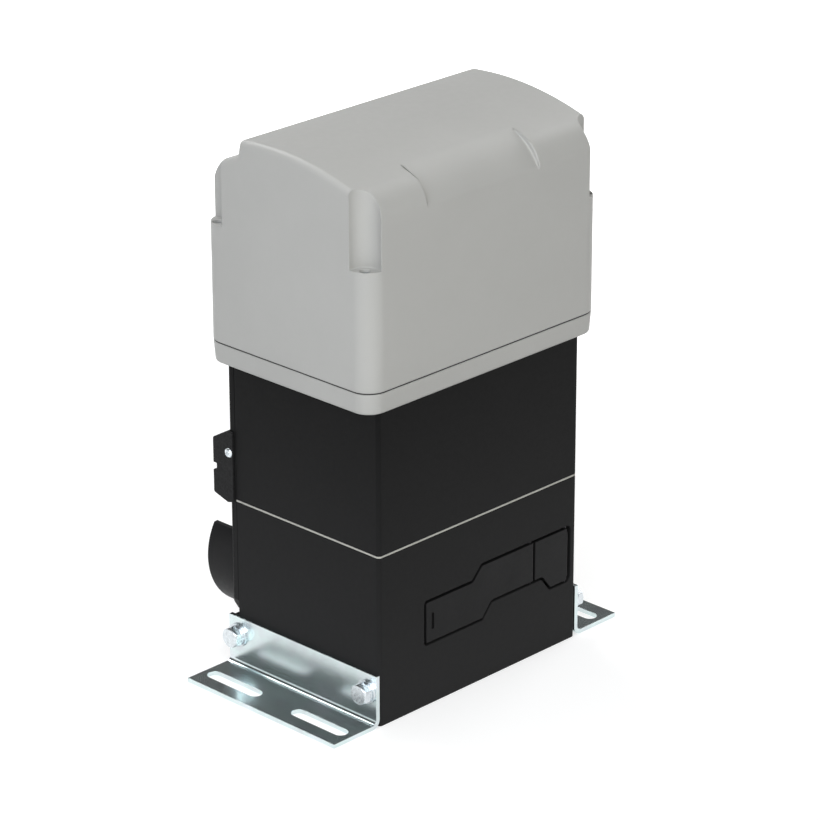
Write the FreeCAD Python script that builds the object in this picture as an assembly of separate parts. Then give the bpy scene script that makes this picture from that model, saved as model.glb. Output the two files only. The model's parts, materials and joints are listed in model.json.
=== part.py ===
import FreeCAD, Part
import math
import os

from FreeCAD import Vector

# Sliding gate motor. Millimetres, +Z up, the front face with the release lever looks along -Y.
# The origin is the centre of the underside of the castings.

# Castings
BODY_X = 240.0
BODY_Y = 176.0
BODY_CORNER_R = 3.5
WALL = 8.0
FLOOR = 10.0
LOWER_TOP = 152.5
GASKET_T = 1.4
UPPER_FLOOR = 8.0
UPPER_TOP = 282.0
BACK_PLATE_T = 8.0
BACK_PLATE_LOW = 48.0
BACK_PLATE_CHAMFER = 13.0
FOOT_TOP = 45.0
CORNER_BLOCK = 18.0
SEAT = 0.05
RUNNING = 0.05
CLEAR = 0.3

# Cable duct through both castings
DUCT_X = 88.0
DUCT_Y = 42.0
DUCT_R = 15.0
DUCT_WALL = 3.5

# Mounting brackets and their bolts
BRACKET_T = 4.0
BRACKET_HEIGHT = 47.5
BRACKET_REACH = 53.5
BRACKET_BEND_R = 4.0
BRACKET_CORNER_R = 1.5
SLOT_WIDTH = 12.5
SLOT_LENGTH = 62.0
SLOT_SPACING = 102.0
SLOT_REACH = 33.5
BOLT_SPACING = 154.0
BOLT_Z = 31.0
BOLT_R = 5.0
BOLT_DEPTH = 14.0
BOLT_HEAD = 6.4
BOLT_FLATS = 17.0
FLAT_WASHER_R = 10.5
FLAT_WASHER_T = 2.0
SPRING_WASHER_R = 9.0
SPRING_WASHER_T = 2.2
BOLT_HOLE_PLAY = 0.5

# Worm drive
WORM_MODULE = 3.0
WHEEL_TEETH = 30
WORM_PITCH_R = 15.0
WORM_TURNS = 5
GEAR_ROOT_PLAY = 0.6
GEAR_BACKLASH = 0.6
PRESSURE_ANGLE = math.radians(20.0)
WHEEL_WIDTH = 20.0
WHEEL_RIM = 8.0
HUB_R = 22.0
HUB_WIDTH = 44.0
WEB_T = 10.0
WORM_X = 0.0
SHAFT_Z = 88.0

# Output shaft, its bearings and the drive pinion
FRONT_SEAT_R = 10.0
FRONT_BEARING_R = 23.5
FRONT_BEARING_W = 14.0
HUB_SEAT_R = 14.0
COLLAR_R = 17.0
REAR_SEAT_R = 12.5
REAR_BEARING_R = 26.0
REAR_BEARING_W = 15.0
BEARING_BOSS_WALL = 6.5
BEARING_LIP = 4.0
SEAL_R = 20.0
SEAL_T = 7.0
PINION_MODULE = 4.0
PINION_TEETH = 16
PINION_WIDTH = 26.0
PINION_SEAT_R = 11.0
PINION_STAND = 3.0
PINION_KEY = 6.0
PINION_WASHER_R = 15.0
PINION_WASHER_T = 3.0
PINION_SCREW_R = 4.0
PINION_SCREW_HEAD = 5.3
PINION_SCREW_FLATS = 13.0
PINION_SCREW_DEPTH = 18.0
DRIVE_KEY = 6.0
DRIVE_KEY_LENGTH = 28.0
DRIVE_KEY_REACH = 2.5

# Guard round the pinion
GUARD_R = 57.0
GUARD_WALL = 3.5
GUARD_REACH = 33.0
GUARD_LIP = 11.0
GUARD_LIP_T = 3.0
GUARD_OPEN_Z = 30.0
GUARD_EAR_R = 7.0
GUARD_EAR_T = 5.0
GUARD_SCREW_R = 2.5
GUARD_SCREW_DEPTH = 6.0

# Worm shaft, clutch and motor
LOWER_BEARING_R = 17.5
LOWER_BEARING_W = 11.0
LOWER_SEAT_R = 7.5
LOWER_BOSS_TOP = 30.0
UPPER_BEARING_R = 20.0
UPPER_BEARING_W = 12.0
UPPER_SEAT_R = 8.5
UPPER_BOSS_DROP = 15.5
WORM_SHOULDER_R = 10.0
CLUTCH_DISC_R = 31.0
CLUTCH_DISC_T = 2.5
CLUTCH_PLATE_T = 3.0
CLUTCH_DRIVER_T = 5.0
CLUTCH_DRUM_R = 40.0
CLUTCH_DRUM_WALL = 4.0
CLUTCH_DRUM_TOP = 194.0
CLUTCH_NUT_T = 5.0
CLUTCH_NUT_R = 14.0
CLUTCH_SPRING_R = 20.0
CLUTCH_SPRING_T = 4.0
STATOR_R = 62.0
STATOR_LOW = 206.0
STATOR_HEIGHT = 54.0
STATOR_RING_WALL = 7.0
AIR_GAP = 0.6
ROTOR_R = 37.0
MOTOR_SHAFT_R = 9.0
TOP_SEAT_R = 7.5
TOP_BEARING_R = 17.5
TOP_BEARING_W = 11.0
WINDING_IN_R = 42.0
WINDING_OUT_R = 58.0
WINDING_HEIGHT = 10.0
SHIELD_RIM = 8.0
SHIELD_T = 5.0
SHIELD_BOSS_R = 23.0
RIB_T = 6.0

# Release lever, lock cover and lock barrel, in the front face
POCKET_LEFT = -67.0
POCKET_RIGHT = 113.4
POCKET_LOW = 55.2
POCKET_HIGH = 108.2
POCKET_LEFT_TOP = 96.4
POCKET_MID_LOW = 68.3
STEP_TOP_X = (-9.5, 1.7)
STEP_LOW_X = (3.9, 15.2)
STEP_END_X = (76.8, 87.0)
POCKET_CORNER_R = 3.5
POCKET_DEPTH = 12.5
POCKET_BACK = 5.5
LEVER_GAP = 2.4
LEVER_T = 9.0
LEVER_PIN_X = 64.5
LEVER_KNUCKLE_R = 3.4
LEVER_PIN_R = 1.6
LEVER_GRIP_X = -57.0
LEVER_GRIP_W = 3.0
LEVER_GRIP_H = 15.0
LEVER_GRIP_D = 1.6
PIN_HOLD = 4.0
FLAP_T = 3.0
FLAP_EDGE_GAP = 0.6
FLAP_KNUCKLE_R = 2.6
FLAP_PIN_R = 1.2
BARREL_X = 91.0
BARREL_Z = 84.0
BARREL_R = 8.0
BARREL_PROUD = 8.0
BARREL_DEPTH = 13.5
BARREL_BOSS_WALL = 5.0
BARREL_COLLAR = 3.5
KEYWAY_W = 2.2
KEYWAY_H = 9.0
KEYWAY_D = 4.0
PLUNGER_R = 4.0
PLUNGER_HEAD_R = 5.0
PLUNGER_HEAD_T = 2.7
PLUNGER_REACH = 84.0

# Limit sensor at the back's left edge
SENSOR_LOW = 150.0
SENSOR_HEIGHT = 65.0
SENSOR_SLOPE = 10.0
SENSOR_WIDTH = 58.0
SENSOR_PROUD = 17.0
SENSOR_WRAP = 7.0
SENSOR_SIDE_T = 2.5
SENSOR_WALL = 2.5
SENSOR_NOTCH_Z = 175.6
SENSOR_NOTCH_H = 6.4
SENSOR_NOTCH_D = 4.0
SENSOR_SCREW_Z = 196.0
SENSOR_SCREW_R = 1.6
SENSOR_SCREW_HEAD_R = 3.4
SENSOR_SCREW_DEPTH = 10.0
SENSOR_ELEMENT = (34.0, 9.0, 22.0)

# Screws of the castings and of the back plate
HOUSING_SCREW_R = 4.0
HOUSING_SCREW_INSET = 8.0
HOUSING_SCREW_DEPTH = 20.0
PLATE_SCREW_R = 3.0
PLATE_SCREW_DEPTH = 12.0
PLATE_SCREW_INSET = 14.0
BASE_SCREW_R = 3.0
BASE_SCREW_DEPTH = 14.0
OIL_PLUG_R = 7.0
OIL_PLUG_X = 70.0
OIL_PLUG_Z = 24.0
OIL_PLUG_DEPTH = 9.0
OIL_FILL = (-84.0, 50.0)

# Cover base, seal and cover
COVER_X = 275.0
COVER_Y = 191.0
COVER_CORNER_R = 18.0
BASE_TOP = 300.0
BASE_FLOOR = 4.0
BASE_TAPER = 1.5
BASE_EDGE_R = 2.0
COVER_WALL = 3.2
SEAL_INSET = 0.7
COVER_SEAL_T = 1.2
CROWN_R = 300.0
CROWN_Y = 18.0
CROWN_TOP = 483.0
CROWN_FRONT_Y = -72.0
FRONT_ROUND_R = 27.0
RIDGE_Y = 50.5
RIDGE_R = 5.5
STEP_Y = 53.5
STEP_Z = 466.5
STEP_R = 6.0
SHOULDER_SLOPE = 0.39
SHOULDER_R = 25.0
SIDE_EDGE_R = 5.5
FLUTE_LEDGE = 403.0
FLUTE_SIDE_FRONT = 21.0
FLUTE_SIDE_BACK = 24.0
FLUTE_FACE = 15.0
FLUTE_DEPTH = 8.0
COVER_SCREW_R = 2.5
COVER_SCREW_PLAY = 0.3
COVER_SCREW_HEAD_R = 4.2
COVER_SCREW_HEAD_T = 4.5
COVER_SCREW_WELL = 7.0
COVER_PILLAR_R = 7.0
SCOOP_X = (-70.0, 60.0)
SCOOP_LOW = 442.0
SCOOP_BACK_Y = -62.0
SCOOP_R = 60.0

# Board and the parts beside it, under the cover
BOARD_X = 190.0
BOARD_HEIGHT = 112.0
BOARD_LOW = 304.0
BOARD_T = 1.6
BOARD_Y = -28.0
BRACKET_PLATE_T = 2.0
BRACKET_FOOT = 26.0
BRACKET_TOP_MARGIN = 4.0
STANDOFF_R = 3.0
STANDOFF_LENGTH = 6.0
STANDOFF_INSET = 8.0
TERMINAL_SIZE = (48.0, 12.0, 14.0)
TERMINAL_COUNT = 3
RELAY_SIZE = (20.0, 15.0, 16.0)
RELAY_COUNT = 3
TRANSFORMER_CORE = (66.0, 34.0, 55.0)
TRANSFORMER_COIL = (46.0, 50.0, 33.0)
TRANSFORMER_X = -62.0
TRANSFORMER_Y = 42.0
CAPACITOR_R = 20.0
CAPACITOR_HEIGHT = 78.0
CAPACITOR_X = 22.0
CAPACITOR_Y = 44.0
GROMMET_LIP = 3.0
GROMMET_T = 2.0

# Places that follow from the sizes above
BODY_SIDE = BODY_X / 2
FRONT = -BODY_Y / 2
BACK = BODY_Y / 2
CASTING_BACK = BACK - BACK_PLATE_T
FRONT_WALL = POCKET_DEPTH + POCKET_BACK
POCKET_FLOOR = FRONT + POCKET_DEPTH
CAVITY_FRONT = FRONT + FRONT_WALL
CAVITY_BACK = CASTING_BACK - WALL
CAVITY_SIDE = BODY_SIDE - WALL
GASKET_TOP = LOWER_TOP + GASKET_T
UPPER_FLOOR_TOP = GASKET_TOP + UPPER_FLOOR
WORM_PITCH = math.pi * WORM_MODULE
WHEEL_R = WORM_MODULE * WHEEL_TEETH / 2
CENTRE_DISTANCE = WHEEL_R + WORM_PITCH_R
SHAFT_X = WORM_X - CENTRE_DISTANCE
WORM_TIP_R = WORM_PITCH_R + WORM_MODULE
WORM_ROOT_R = WORM_PITCH_R - WORM_MODULE - GEAR_ROOT_PLAY
WHEEL_TIP_R = WHEEL_R + WORM_MODULE
WHEEL_ROOT_R = WHEEL_R - WORM_MODULE - GEAR_ROOT_PLAY
WHEEL_SEAT_R = WHEEL_ROOT_R - WHEEL_RIM
LEAD_SLOPE = WORM_PITCH / (2 * math.pi * WORM_PITCH_R)
PINION_R = PINION_MODULE * PINION_TEETH / 2
PINION_LOW_Y = BACK + PINION_STAND
PINION_HIGH_Y = PINION_LOW_Y + PINION_WIDTH
FRONT_BEARING_Y = CAVITY_FRONT + 1.0
REAR_BEARING_Y = CASTING_BACK - REAR_BEARING_W - 3.0
HOUSING_SCREW_X = CAVITY_SIDE - HOUSING_SCREW_INSET
HOUSING_SCREW_YS = (FRONT + WALL + HOUSING_SCREW_INSET, CAVITY_BACK - HOUSING_SCREW_INSET)
STATOR_TOP = STATOR_LOW + STATOR_HEIGHT
STATOR_RING_TOP = STATOR_TOP + 4.0
SHIELD_TOP = STATOR_RING_TOP + SHIELD_RIM + SHIELD_T
UPPER_BEARING_Z = GASKET_TOP - UPPER_BOSS_DROP + 2.0
LOWER_BEARING_Z = LOWER_BOSS_TOP - 2.0 - LOWER_BEARING_W
TOP_BEARING_Z = SHIELD_TOP - 1.0 - TOP_BEARING_W
CLUTCH_Z = UPPER_FLOOR_TOP + 2.0
DRIVER_Z = CLUTCH_Z + CLUTCH_PLATE_T + CLUTCH_DISC_T
BASE_LOW = UPPER_TOP
TRAY_Z = BASE_LOW + BASE_FLOOR
COVER_LOW = BASE_TOP + COVER_SEAL_T
LEVER_PIN_Y = FRONT + LEVER_KNUCKLE_R + 0.1
FLAP_PIN_Y = FRONT + FLAP_KNUCKLE_R + 0.1
FLAP_PIN_X = POCKET_RIGHT - LEVER_GAP - FLAP_KNUCKLE_R
CROWN_BACK_Y = RIDGE_Y - RIDGE_R - 1.0
FLAP_LEFT = LEVER_PIN_X + LEVER_KNUCKLE_R + FLAP_EDGE_GAP
FAR = 600.0


def box(x0, x1, y0, y1, z0, z1):
    return Part.makeBox(x1 - x0, y1 - y0, z1 - z0, Vector(x0, y0, z0))


def rod(radius, start, end):
    """A cylinder from one point to another."""
    axis = Vector(*end) - Vector(*start)
    return Part.makeCylinder(radius, axis.Length, Vector(*start), axis)


def tube(outer, inner, start, end):
    return rod(outer, start, end).cut(rod(inner, start, end))


def turned(outline, base, axis):
    """A solid turned from a closed outline of (radius, distance along the axis) points."""
    points = [Vector(radius, 0, along) for radius, along in outline]
    face = Part.Face(Part.makePolygon(points + points[:1]))
    solid = face.revolve(Vector(0, 0, 0), Vector(0, 0, 1), 360)
    solid.Placement = FreeCAD.Placement(Vector(*base), FreeCAD.Rotation(Vector(0, 0, 1), Vector(*axis)))
    return solid


def hexagon(flats, start, end):
    """A hexagonal prism between two points, with its chamfered outer end at the second one."""
    axis = Vector(*end) - Vector(*start)
    corner = flats / math.sqrt(3)
    points = [Vector(corner * math.cos(k * math.pi / 3), corner * math.sin(k * math.pi / 3), 0) for k in range(7)]
    prism = Part.Face(Part.makePolygon(points)).extrude(Vector(0, 0, axis.Length))
    dome = Part.makeCone(corner + axis.Length, flats / 2 * 0.95, axis.Length + corner - flats / 2 * 0.95)
    dome.translate(Vector(0, 0, flats / 2 * 0.95 - corner))
    solid = prism.common(dome)
    solid.Placement = FreeCAD.Placement(Vector(*start), FreeCAD.Rotation(Vector(0, 0, 1), axis))
    return solid


def flat(z):
    return lambda point: Vector(point.x, point.y, z)


def side(x):
    return lambda point: Vector(x, point.x, point.y)


def facing(y):
    return lambda point: Vector(point.x, y, point.y)


def rounded_wire(corners, plane):
    """A closed wire through (u, v, radius) corners, each rounded by a tangent arc."""
    marks = []
    for i, (u, v, radius) in enumerate(corners):
        here = Vector(u, v, 0)
        before = (Vector(corners[i - 1][0], corners[i - 1][1], 0) - here).normalize()
        following = corners[(i + 1) % len(corners)]
        after = (Vector(following[0], following[1], 0) - here).normalize()
        half = before.getAngle(after) / 2
        middle = (before + after).normalize()
        reach = radius / math.tan(half)
        top = here + middle * (radius / math.sin(half) - radius)
        marks.append((here + before * reach, top, here + after * reach))
    edges = []
    for i, (start, top, end) in enumerate(marks):
        if (start - end).Length > 1e-6:
            edges.append(Part.Arc(plane(start), plane(top), plane(end)).toShape())
        following = marks[(i + 1) % len(marks)][0]
        if (following - end).Length > 1e-6:
            edges.append(Part.makeLine(plane(end), plane(following)))
    return Part.Wire(edges)


def prism(corners, plane, sweep):
    return Part.Face(rounded_wire(corners, plane)).extrude(Vector(*sweep))


def inset_corners(corners, inset):
    """Moves an outline inwards: outer corners lose the inset from their radius, inner ones gain it."""
    count = len(corners)
    area = sum(corners[i - 1][0] * corners[i][1] - corners[i][0] * corners[i - 1][1] for i in range(count))
    turn = 1 if area > 0 else -1
    moved = []
    for i, (u, v, radius) in enumerate(corners):
        before = corners[i - 1]
        after = corners[(i + 1) % count]
        first = Vector(u - before[0], v - before[1], 0).normalize()
        second = Vector(after[0] - u, after[1] - v, 0).normalize()
        cross = first.x * second.y - first.y * second.x
        shift = inset * turn / (1 + first.dot(second))
        inward = Vector(-first.y - second.y, first.x + second.x, 0) * shift
        change = -inset if cross * turn > 0 else inset
        moved.append((u + inward.x, v + inward.y, max(radius + change, 0) if radius else 0))
    return moved


def rectangle(x0, x1, y0, y1, radius):
    return [(x0, y0, radius), (x1, y0, radius), (x1, y1, radius), (x0, y1, radius)]


def fuse(shapes):
    return shapes[0].fuse(shapes[1:]).removeSplitter()


def mirrored(shape):
    return shape.mirror(Vector(0, 0, 0), Vector(1, 0, 0))


def bearing(bore, outer, width, base, axis):
    """A shielded ball bearing, drawn as one closed ring with its two shield grooves."""
    low = bore + (outer - bore) * 0.3
    high = bore + (outer - bore) * 0.7
    groove = width * 0.06
    outline = [(bore + RUNNING, 0), (low, 0), (low, groove), (high, groove), (high, 0), (outer - SEAT, 0)]
    outline += [(radius, width - along) for radius, along in reversed(outline)]
    return turned(outline, base, axis)


# Castings

def duct(z0, z1, radius):
    return rod(radius, (DUCT_X, DUCT_Y, z0), (DUCT_X, DUCT_Y, z1))


def casting_walls(z0, z1, front_inner):
    """Walls, corner blocks and cable duct of a casting between two heights."""
    corners = [(-BODY_SIDE, FRONT, BODY_CORNER_R), (BODY_SIDE, FRONT, BODY_CORNER_R),
               (BODY_SIDE, CASTING_BACK, 0), (-BODY_SIDE, CASTING_BACK, 0)]
    walls = prism(corners, flat(z0), (0, 0, z1 - z0))
    walls = walls.cut(box(-CAVITY_SIDE, CAVITY_SIDE, front_inner, CAVITY_BACK, z0, z1))
    pieces = [walls, duct(z0, z1, DUCT_R + DUCT_WALL)]
    block_x = CAVITY_SIDE - CORNER_BLOCK
    for sign in (-1, 1):
        x0, x1 = sorted((sign * block_x, sign * CAVITY_SIDE))
        pieces.append(box(x0, x1, front_inner, FRONT + WALL + CORNER_BLOCK, z0, z1))
        pieces.append(box(x0, x1, CAVITY_BACK - CORNER_BLOCK, CAVITY_BACK, z0, z1))
    return fuse(pieces)


def housing_screw_places():
    return [(x, y) for x in (-HOUSING_SCREW_X, HOUSING_SCREW_X) for y in HOUSING_SCREW_YS]


def pocket_corners():
    """Outline (X, Z) of the lever's pocket in the front face."""
    r = POCKET_CORNER_R
    return [(POCKET_LEFT, POCKET_LOW, r), (STEP_LOW_X[0], POCKET_LOW, r), (STEP_LOW_X[1], POCKET_MID_LOW, r),
            (STEP_END_X[0], POCKET_MID_LOW, r), (STEP_END_X[1], POCKET_LOW, r), (POCKET_RIGHT, POCKET_LOW, r + 2),
            (POCKET_RIGHT, POCKET_HIGH, r + 2), (STEP_TOP_X[1], POCKET_HIGH, r),
            (STEP_TOP_X[0], POCKET_LEFT_TOP, r), (POCKET_LEFT, POCKET_LEFT_TOP, r)]


def bolt_places():
    return [(sign, y) for sign in (-1, 1) for y in (-BOLT_SPACING / 2, BOLT_SPACING / 2)]


def gearbox_housing():
    shell = casting_walls(FLOOR, LOWER_TOP, CAVITY_FRONT)
    corners = [(-BODY_SIDE, FRONT, BODY_CORNER_R), (BODY_SIDE, FRONT, BODY_CORNER_R),
               (BODY_SIDE, CASTING_BACK, 0), (-BODY_SIDE, CASTING_BACK, 0)]
    pieces = [shell, prism(corners, flat(0), (0, 0, FLOOR))]
    pieces.append(box(-BODY_SIDE, BODY_SIDE, CASTING_BACK, BACK, 0, FOOT_TOP))
    pieces.append(rod(LOWER_BEARING_R + BEARING_BOSS_WALL, (WORM_X, 0, 0), (WORM_X, 0, LOWER_BOSS_TOP)))
    front_boss = FRONT_BEARING_R + BEARING_BOSS_WALL
    front_end = FRONT_BEARING_Y + FRONT_BEARING_W
    pieces.append(rod(front_boss, (SHAFT_X, FRONT + WALL, SHAFT_Z), (SHAFT_X, front_end, SHAFT_Z)))
    rear_boss = REAR_BEARING_R + BEARING_BOSS_WALL
    rear_start = REAR_BEARING_Y - BEARING_LIP
    pieces.append(rod(rear_boss, (SHAFT_X, rear_start, SHAFT_Z), (SHAFT_X, CASTING_BACK, SHAFT_Z)))
    barrel_boss = BARREL_R + BARREL_BOSS_WALL
    barrel_end = POCKET_FLOOR + BARREL_DEPTH + BEARING_LIP
    pieces.append(rod(barrel_boss, (BARREL_X, POCKET_FLOOR, BARREL_Z), (BARREL_X, barrel_end, BARREL_Z)))
    body = fuse(pieces)
    body = body.cut(prism(pocket_corners(), facing(FRONT - 1), (0, POCKET_DEPTH + 1, 0)))
    collar = rod(BARREL_R + BARREL_COLLAR, (BARREL_X, POCKET_FLOOR - BARREL_COLLAR, BARREL_Z),
                 (BARREL_X, POCKET_FLOOR, BARREL_Z))
    body = fuse([body, collar])
    cuts = [duct(-1, LOWER_TOP + 1, DUCT_R)]
    cuts.append(rod(LOWER_BEARING_R, (WORM_X, 0, LOWER_BEARING_Z), (WORM_X, 0, LOWER_BOSS_TOP + 1)))
    cuts.append(rod(FRONT_BEARING_R, (SHAFT_X, CAVITY_FRONT, SHAFT_Z), (SHAFT_X, front_end + 1, SHAFT_Z)))
    cuts.append(rod(REAR_BEARING_R, (SHAFT_X, REAR_BEARING_Y, SHAFT_Z), (SHAFT_X, CASTING_BACK + 1, SHAFT_Z)))
    cuts.append(rod(COLLAR_R + 1, (SHAFT_X, rear_start - 1, SHAFT_Z), (SHAFT_X, CASTING_BACK, SHAFT_Z)))
    cuts.append(rod(BARREL_R + RUNNING, (BARREL_X, FRONT, BARREL_Z), (BARREL_X, POCKET_FLOOR + BARREL_DEPTH, BARREL_Z)))
    cuts.append(rod(PLUNGER_R + RUNNING, (SHAFT_X, FRONT, SHAFT_Z), (SHAFT_X, CAVITY_FRONT + 1, SHAFT_Z)))
    cuts.append(rod(LEVER_PIN_R, (LEVER_PIN_X, LEVER_PIN_Y, POCKET_MID_LOW - PIN_HOLD),
                    (LEVER_PIN_X, LEVER_PIN_Y, POCKET_HIGH + PIN_HOLD)))
    cuts.append(rod(FLAP_PIN_R, (FLAP_PIN_X, FLAP_PIN_Y, POCKET_LOW - PIN_HOLD),
                    (FLAP_PIN_X, FLAP_PIN_Y, POCKET_HIGH + PIN_HOLD)))
    cuts.append(rod(OIL_PLUG_R, (OIL_PLUG_X, CAVITY_BACK - 1, OIL_PLUG_Z), (OIL_PLUG_X, BACK + 1, OIL_PLUG_Z)))
    for x, y in housing_screw_places():
        cuts.append(rod(HOUSING_SCREW_R, (x, y, LOWER_TOP - HOUSING_SCREW_DEPTH - 2), (x, y, LOWER_TOP + 1)))
    for sign, y in bolt_places():
        cuts.append(rod(BOLT_R, (sign * (BODY_SIDE + 1), y, BOLT_Z), (sign * (BODY_SIDE - BOLT_DEPTH - 1), y, BOLT_Z)))
    for x, z in plate_screw_places():
        if z < LOWER_TOP:
            cuts.append(rod(PLATE_SCREW_R, (x, CASTING_BACK - PLATE_SCREW_DEPTH, z), (x, CASTING_BACK + 1, z)))
    return body.cut(cuts)


def housing_gasket():
    sheet = casting_walls(LOWER_TOP, GASKET_TOP, CAVITY_FRONT)
    cuts = [duct(LOWER_TOP - 1, GASKET_TOP + 1, DUCT_R + 1)]
    for x, y in housing_screw_places():
        cuts.append(rod(HOUSING_SCREW_R + CLEAR, (x, y, LOWER_TOP - 1), (x, y, GASKET_TOP + 1)))
    return sheet.cut(cuts)


def motor_housing():
    ring_r = STATOR_R + STATOR_RING_WALL
    front_inner = FRONT + WALL
    pieces = [casting_walls(UPPER_FLOOR_TOP, UPPER_TOP, front_inner)]
    corners = [(-BODY_SIDE, FRONT, BODY_CORNER_R), (BODY_SIDE, FRONT, BODY_CORNER_R),
               (BODY_SIDE, CASTING_BACK, 0), (-BODY_SIDE, CASTING_BACK, 0)]
    pieces.append(prism(corners, flat(GASKET_TOP), (0, 0, UPPER_FLOOR)))
    pieces.append(rod(UPPER_BEARING_R + BEARING_BOSS_WALL, (WORM_X, 0, GASKET_TOP - UPPER_BOSS_DROP),
                      (WORM_X, 0, UPPER_FLOOR_TOP)))
    pieces.append(rod(ring_r, (WORM_X, 0, UPPER_FLOOR_TOP), (WORM_X, 0, STATOR_RING_TOP)))
    pieces.append(box(-CAVITY_SIDE, CAVITY_SIDE, -RIB_T / 2, RIB_T / 2, UPPER_FLOOR_TOP, STATOR_RING_TOP))
    body = fuse(pieces)
    cuts = [duct(GASKET_TOP - 1, UPPER_TOP + 1, DUCT_R + 1)]
    cuts.append(rod(STATOR_R, (WORM_X, 0, UPPER_FLOOR_TOP), (WORM_X, 0, STATOR_RING_TOP + 1)))
    cuts.append(rod(UPPER_BEARING_R, (WORM_X, 0, UPPER_BEARING_Z), (WORM_X, 0, UPPER_FLOOR_TOP + 1)))
    cuts.append(rod(WORM_SHOULDER_R + 2, (WORM_X, 0, GASKET_TOP - UPPER_BOSS_DROP - 1), (WORM_X, 0, GASKET_TOP)))
    x, y = OIL_FILL
    cuts.append(rod(OIL_PLUG_R, (x, y, GASKET_TOP - 1), (x, y, UPPER_FLOOR_TOP + 1)))
    for x, y in housing_screw_places():
        cuts.append(rod(HOUSING_SCREW_R + CLEAR, (x, y, GASKET_TOP - 1), (x, y, UPPER_TOP + 1)))
        cuts.append(rod(HOUSING_SCREW_R * 1.7, (x, y, UPPER_FLOOR_TOP), (x, y, UPPER_TOP - BASE_SCREW_DEPTH - 8)))
        cuts.append(rod(BASE_SCREW_R, (x, y, UPPER_TOP - BASE_SCREW_DEPTH - 1), (x, y, UPPER_TOP + 1)))
    for x, z in plate_screw_places():
        if z > GASKET_TOP:
            cuts.append(rod(PLATE_SCREW_R, (x, CASTING_BACK - PLATE_SCREW_DEPTH, z), (x, CASTING_BACK + 1, z)))
    return body.cut(cuts)


def socket_screw(radius, head_base, end, shank):
    """A socket head screw: head_base lies under the head, and the shank points the way of end."""
    along = (Vector(*end) - Vector(*head_base)).normalize()
    base = Vector(*head_base)
    head_top = base - along * (radius * 2)
    head = rod(radius * 1.6, tuple(base), tuple(head_top))
    stem = rod(radius - SEAT, tuple(base), tuple(base + along * shank))
    key = hexagon(radius * 1.6, tuple(head_top + along * radius), tuple(head_top))
    return fuse([head, stem]).cut(key)


def housing_screws():
    shank = UPPER_FLOOR + GASKET_T + HOUSING_SCREW_DEPTH
    return [socket_screw(HOUSING_SCREW_R, (x, y, UPPER_FLOOR_TOP), (x, y, 0), shank)
            for x, y in housing_screw_places()]


def back_plate_low_corners():
    cut = BACK_PLATE_CHAMFER
    return [(-BODY_SIDE, BACK_PLATE_LOW + cut, 3), (-BODY_SIDE + cut * 0.6, BACK_PLATE_LOW, 3),
            (BODY_SIDE - cut * 0.6, BACK_PLATE_LOW, 3), (BODY_SIDE, BACK_PLATE_LOW + cut, 3)]


def plate_screw_places():
    """Screws of the back plate (X, Z), down its two sides, but none under the pinion's guard."""
    x = BODY_SIDE - PLATE_SCREW_INSET
    low = BACK_PLATE_LOW + PLATE_SCREW_INSET * 2
    near = LOWER_TOP - PLATE_SCREW_INSET
    places = []
    for z in (low, near, SENSOR_LOW + SENSOR_HEIGHT + PLATE_SCREW_INSET, UPPER_TOP - PLATE_SCREW_INSET):
        places += [(-x, z), (x, z)]
    clear_of_guard = GUARD_R + 2 * PLATE_SCREW_R
    return [(x, z) for x, z in places if math.hypot(x - SHAFT_X, z - SHAFT_Z) > clear_of_guard]


def back_plate():
    corners = back_plate_low_corners() + [(BODY_SIDE, UPPER_TOP, 0), (-BODY_SIDE, UPPER_TOP, 0)]
    plate = prism(corners, facing(CASTING_BACK), (0, BACK_PLATE_T, 0))
    upright = rectangle(-BODY_SIDE, BODY_SIDE, CASTING_BACK - 2 * BODY_CORNER_R, BACK, BODY_CORNER_R)
    plate = plate.common(prism(upright, flat(0), (0, 0, FAR)))
    bearing_end = REAR_BEARING_Y + REAR_BEARING_W
    spigot = rod(REAR_BEARING_R - SEAT, (SHAFT_X, bearing_end, SHAFT_Z), (SHAFT_X, CASTING_BACK, SHAFT_Z))
    plate = fuse([plate, spigot])
    cuts = [rod(SEAL_R, (SHAFT_X, bearing_end - 1, SHAFT_Z), (SHAFT_X, BACK + 1, SHAFT_Z))]
    for x, z in plate_screw_places():
        cuts.append(rod(PLATE_SCREW_R + CLEAR, (x, CASTING_BACK - 1, z), (x, BACK + 1, z)))
        cuts.append(rod(PLATE_SCREW_R * 1.6 + CLEAR, (x, BACK - PLATE_SCREW_R * 2, z), (x, BACK + 1, z)))
    for x, z in guard_screw_places():
        cuts.append(rod(GUARD_SCREW_R, (x, BACK - GUARD_SCREW_DEPTH, z), (x, BACK + 1, z)))
    side_y = sensor_screw_y()
    cuts.append(rod(SENSOR_SCREW_R, (-BODY_SIDE - 1, side_y, SENSOR_SCREW_Z),
                    (-BODY_SIDE + SENSOR_SCREW_DEPTH + 1, side_y, SENSOR_SCREW_Z)))
    return plate.cut(cuts)


def back_plate_screws():
    start = BACK - PLATE_SCREW_R * 2
    shank = PLATE_SCREW_DEPTH - 1 + start - CASTING_BACK
    return [socket_screw(PLATE_SCREW_R, (x, start, z), (x, 0, z), shank) for x, z in plate_screw_places()]


# Guard round the pinion

def guard_screw_places():
    """Ears of the guard (X, Z), inside its wall."""
    reach = GUARD_R - GUARD_WALL - GUARD_EAR_R + 2
    spots = []
    for degrees in (195, 270, 345):
        angle = math.radians(degrees)
        spots.append((SHAFT_X + reach * math.cos(angle), SHAFT_Z + reach * math.sin(angle)))
    return [(x, z) for x, z in spots if z > BACK_PLATE_LOW + GUARD_SCREW_R]


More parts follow.
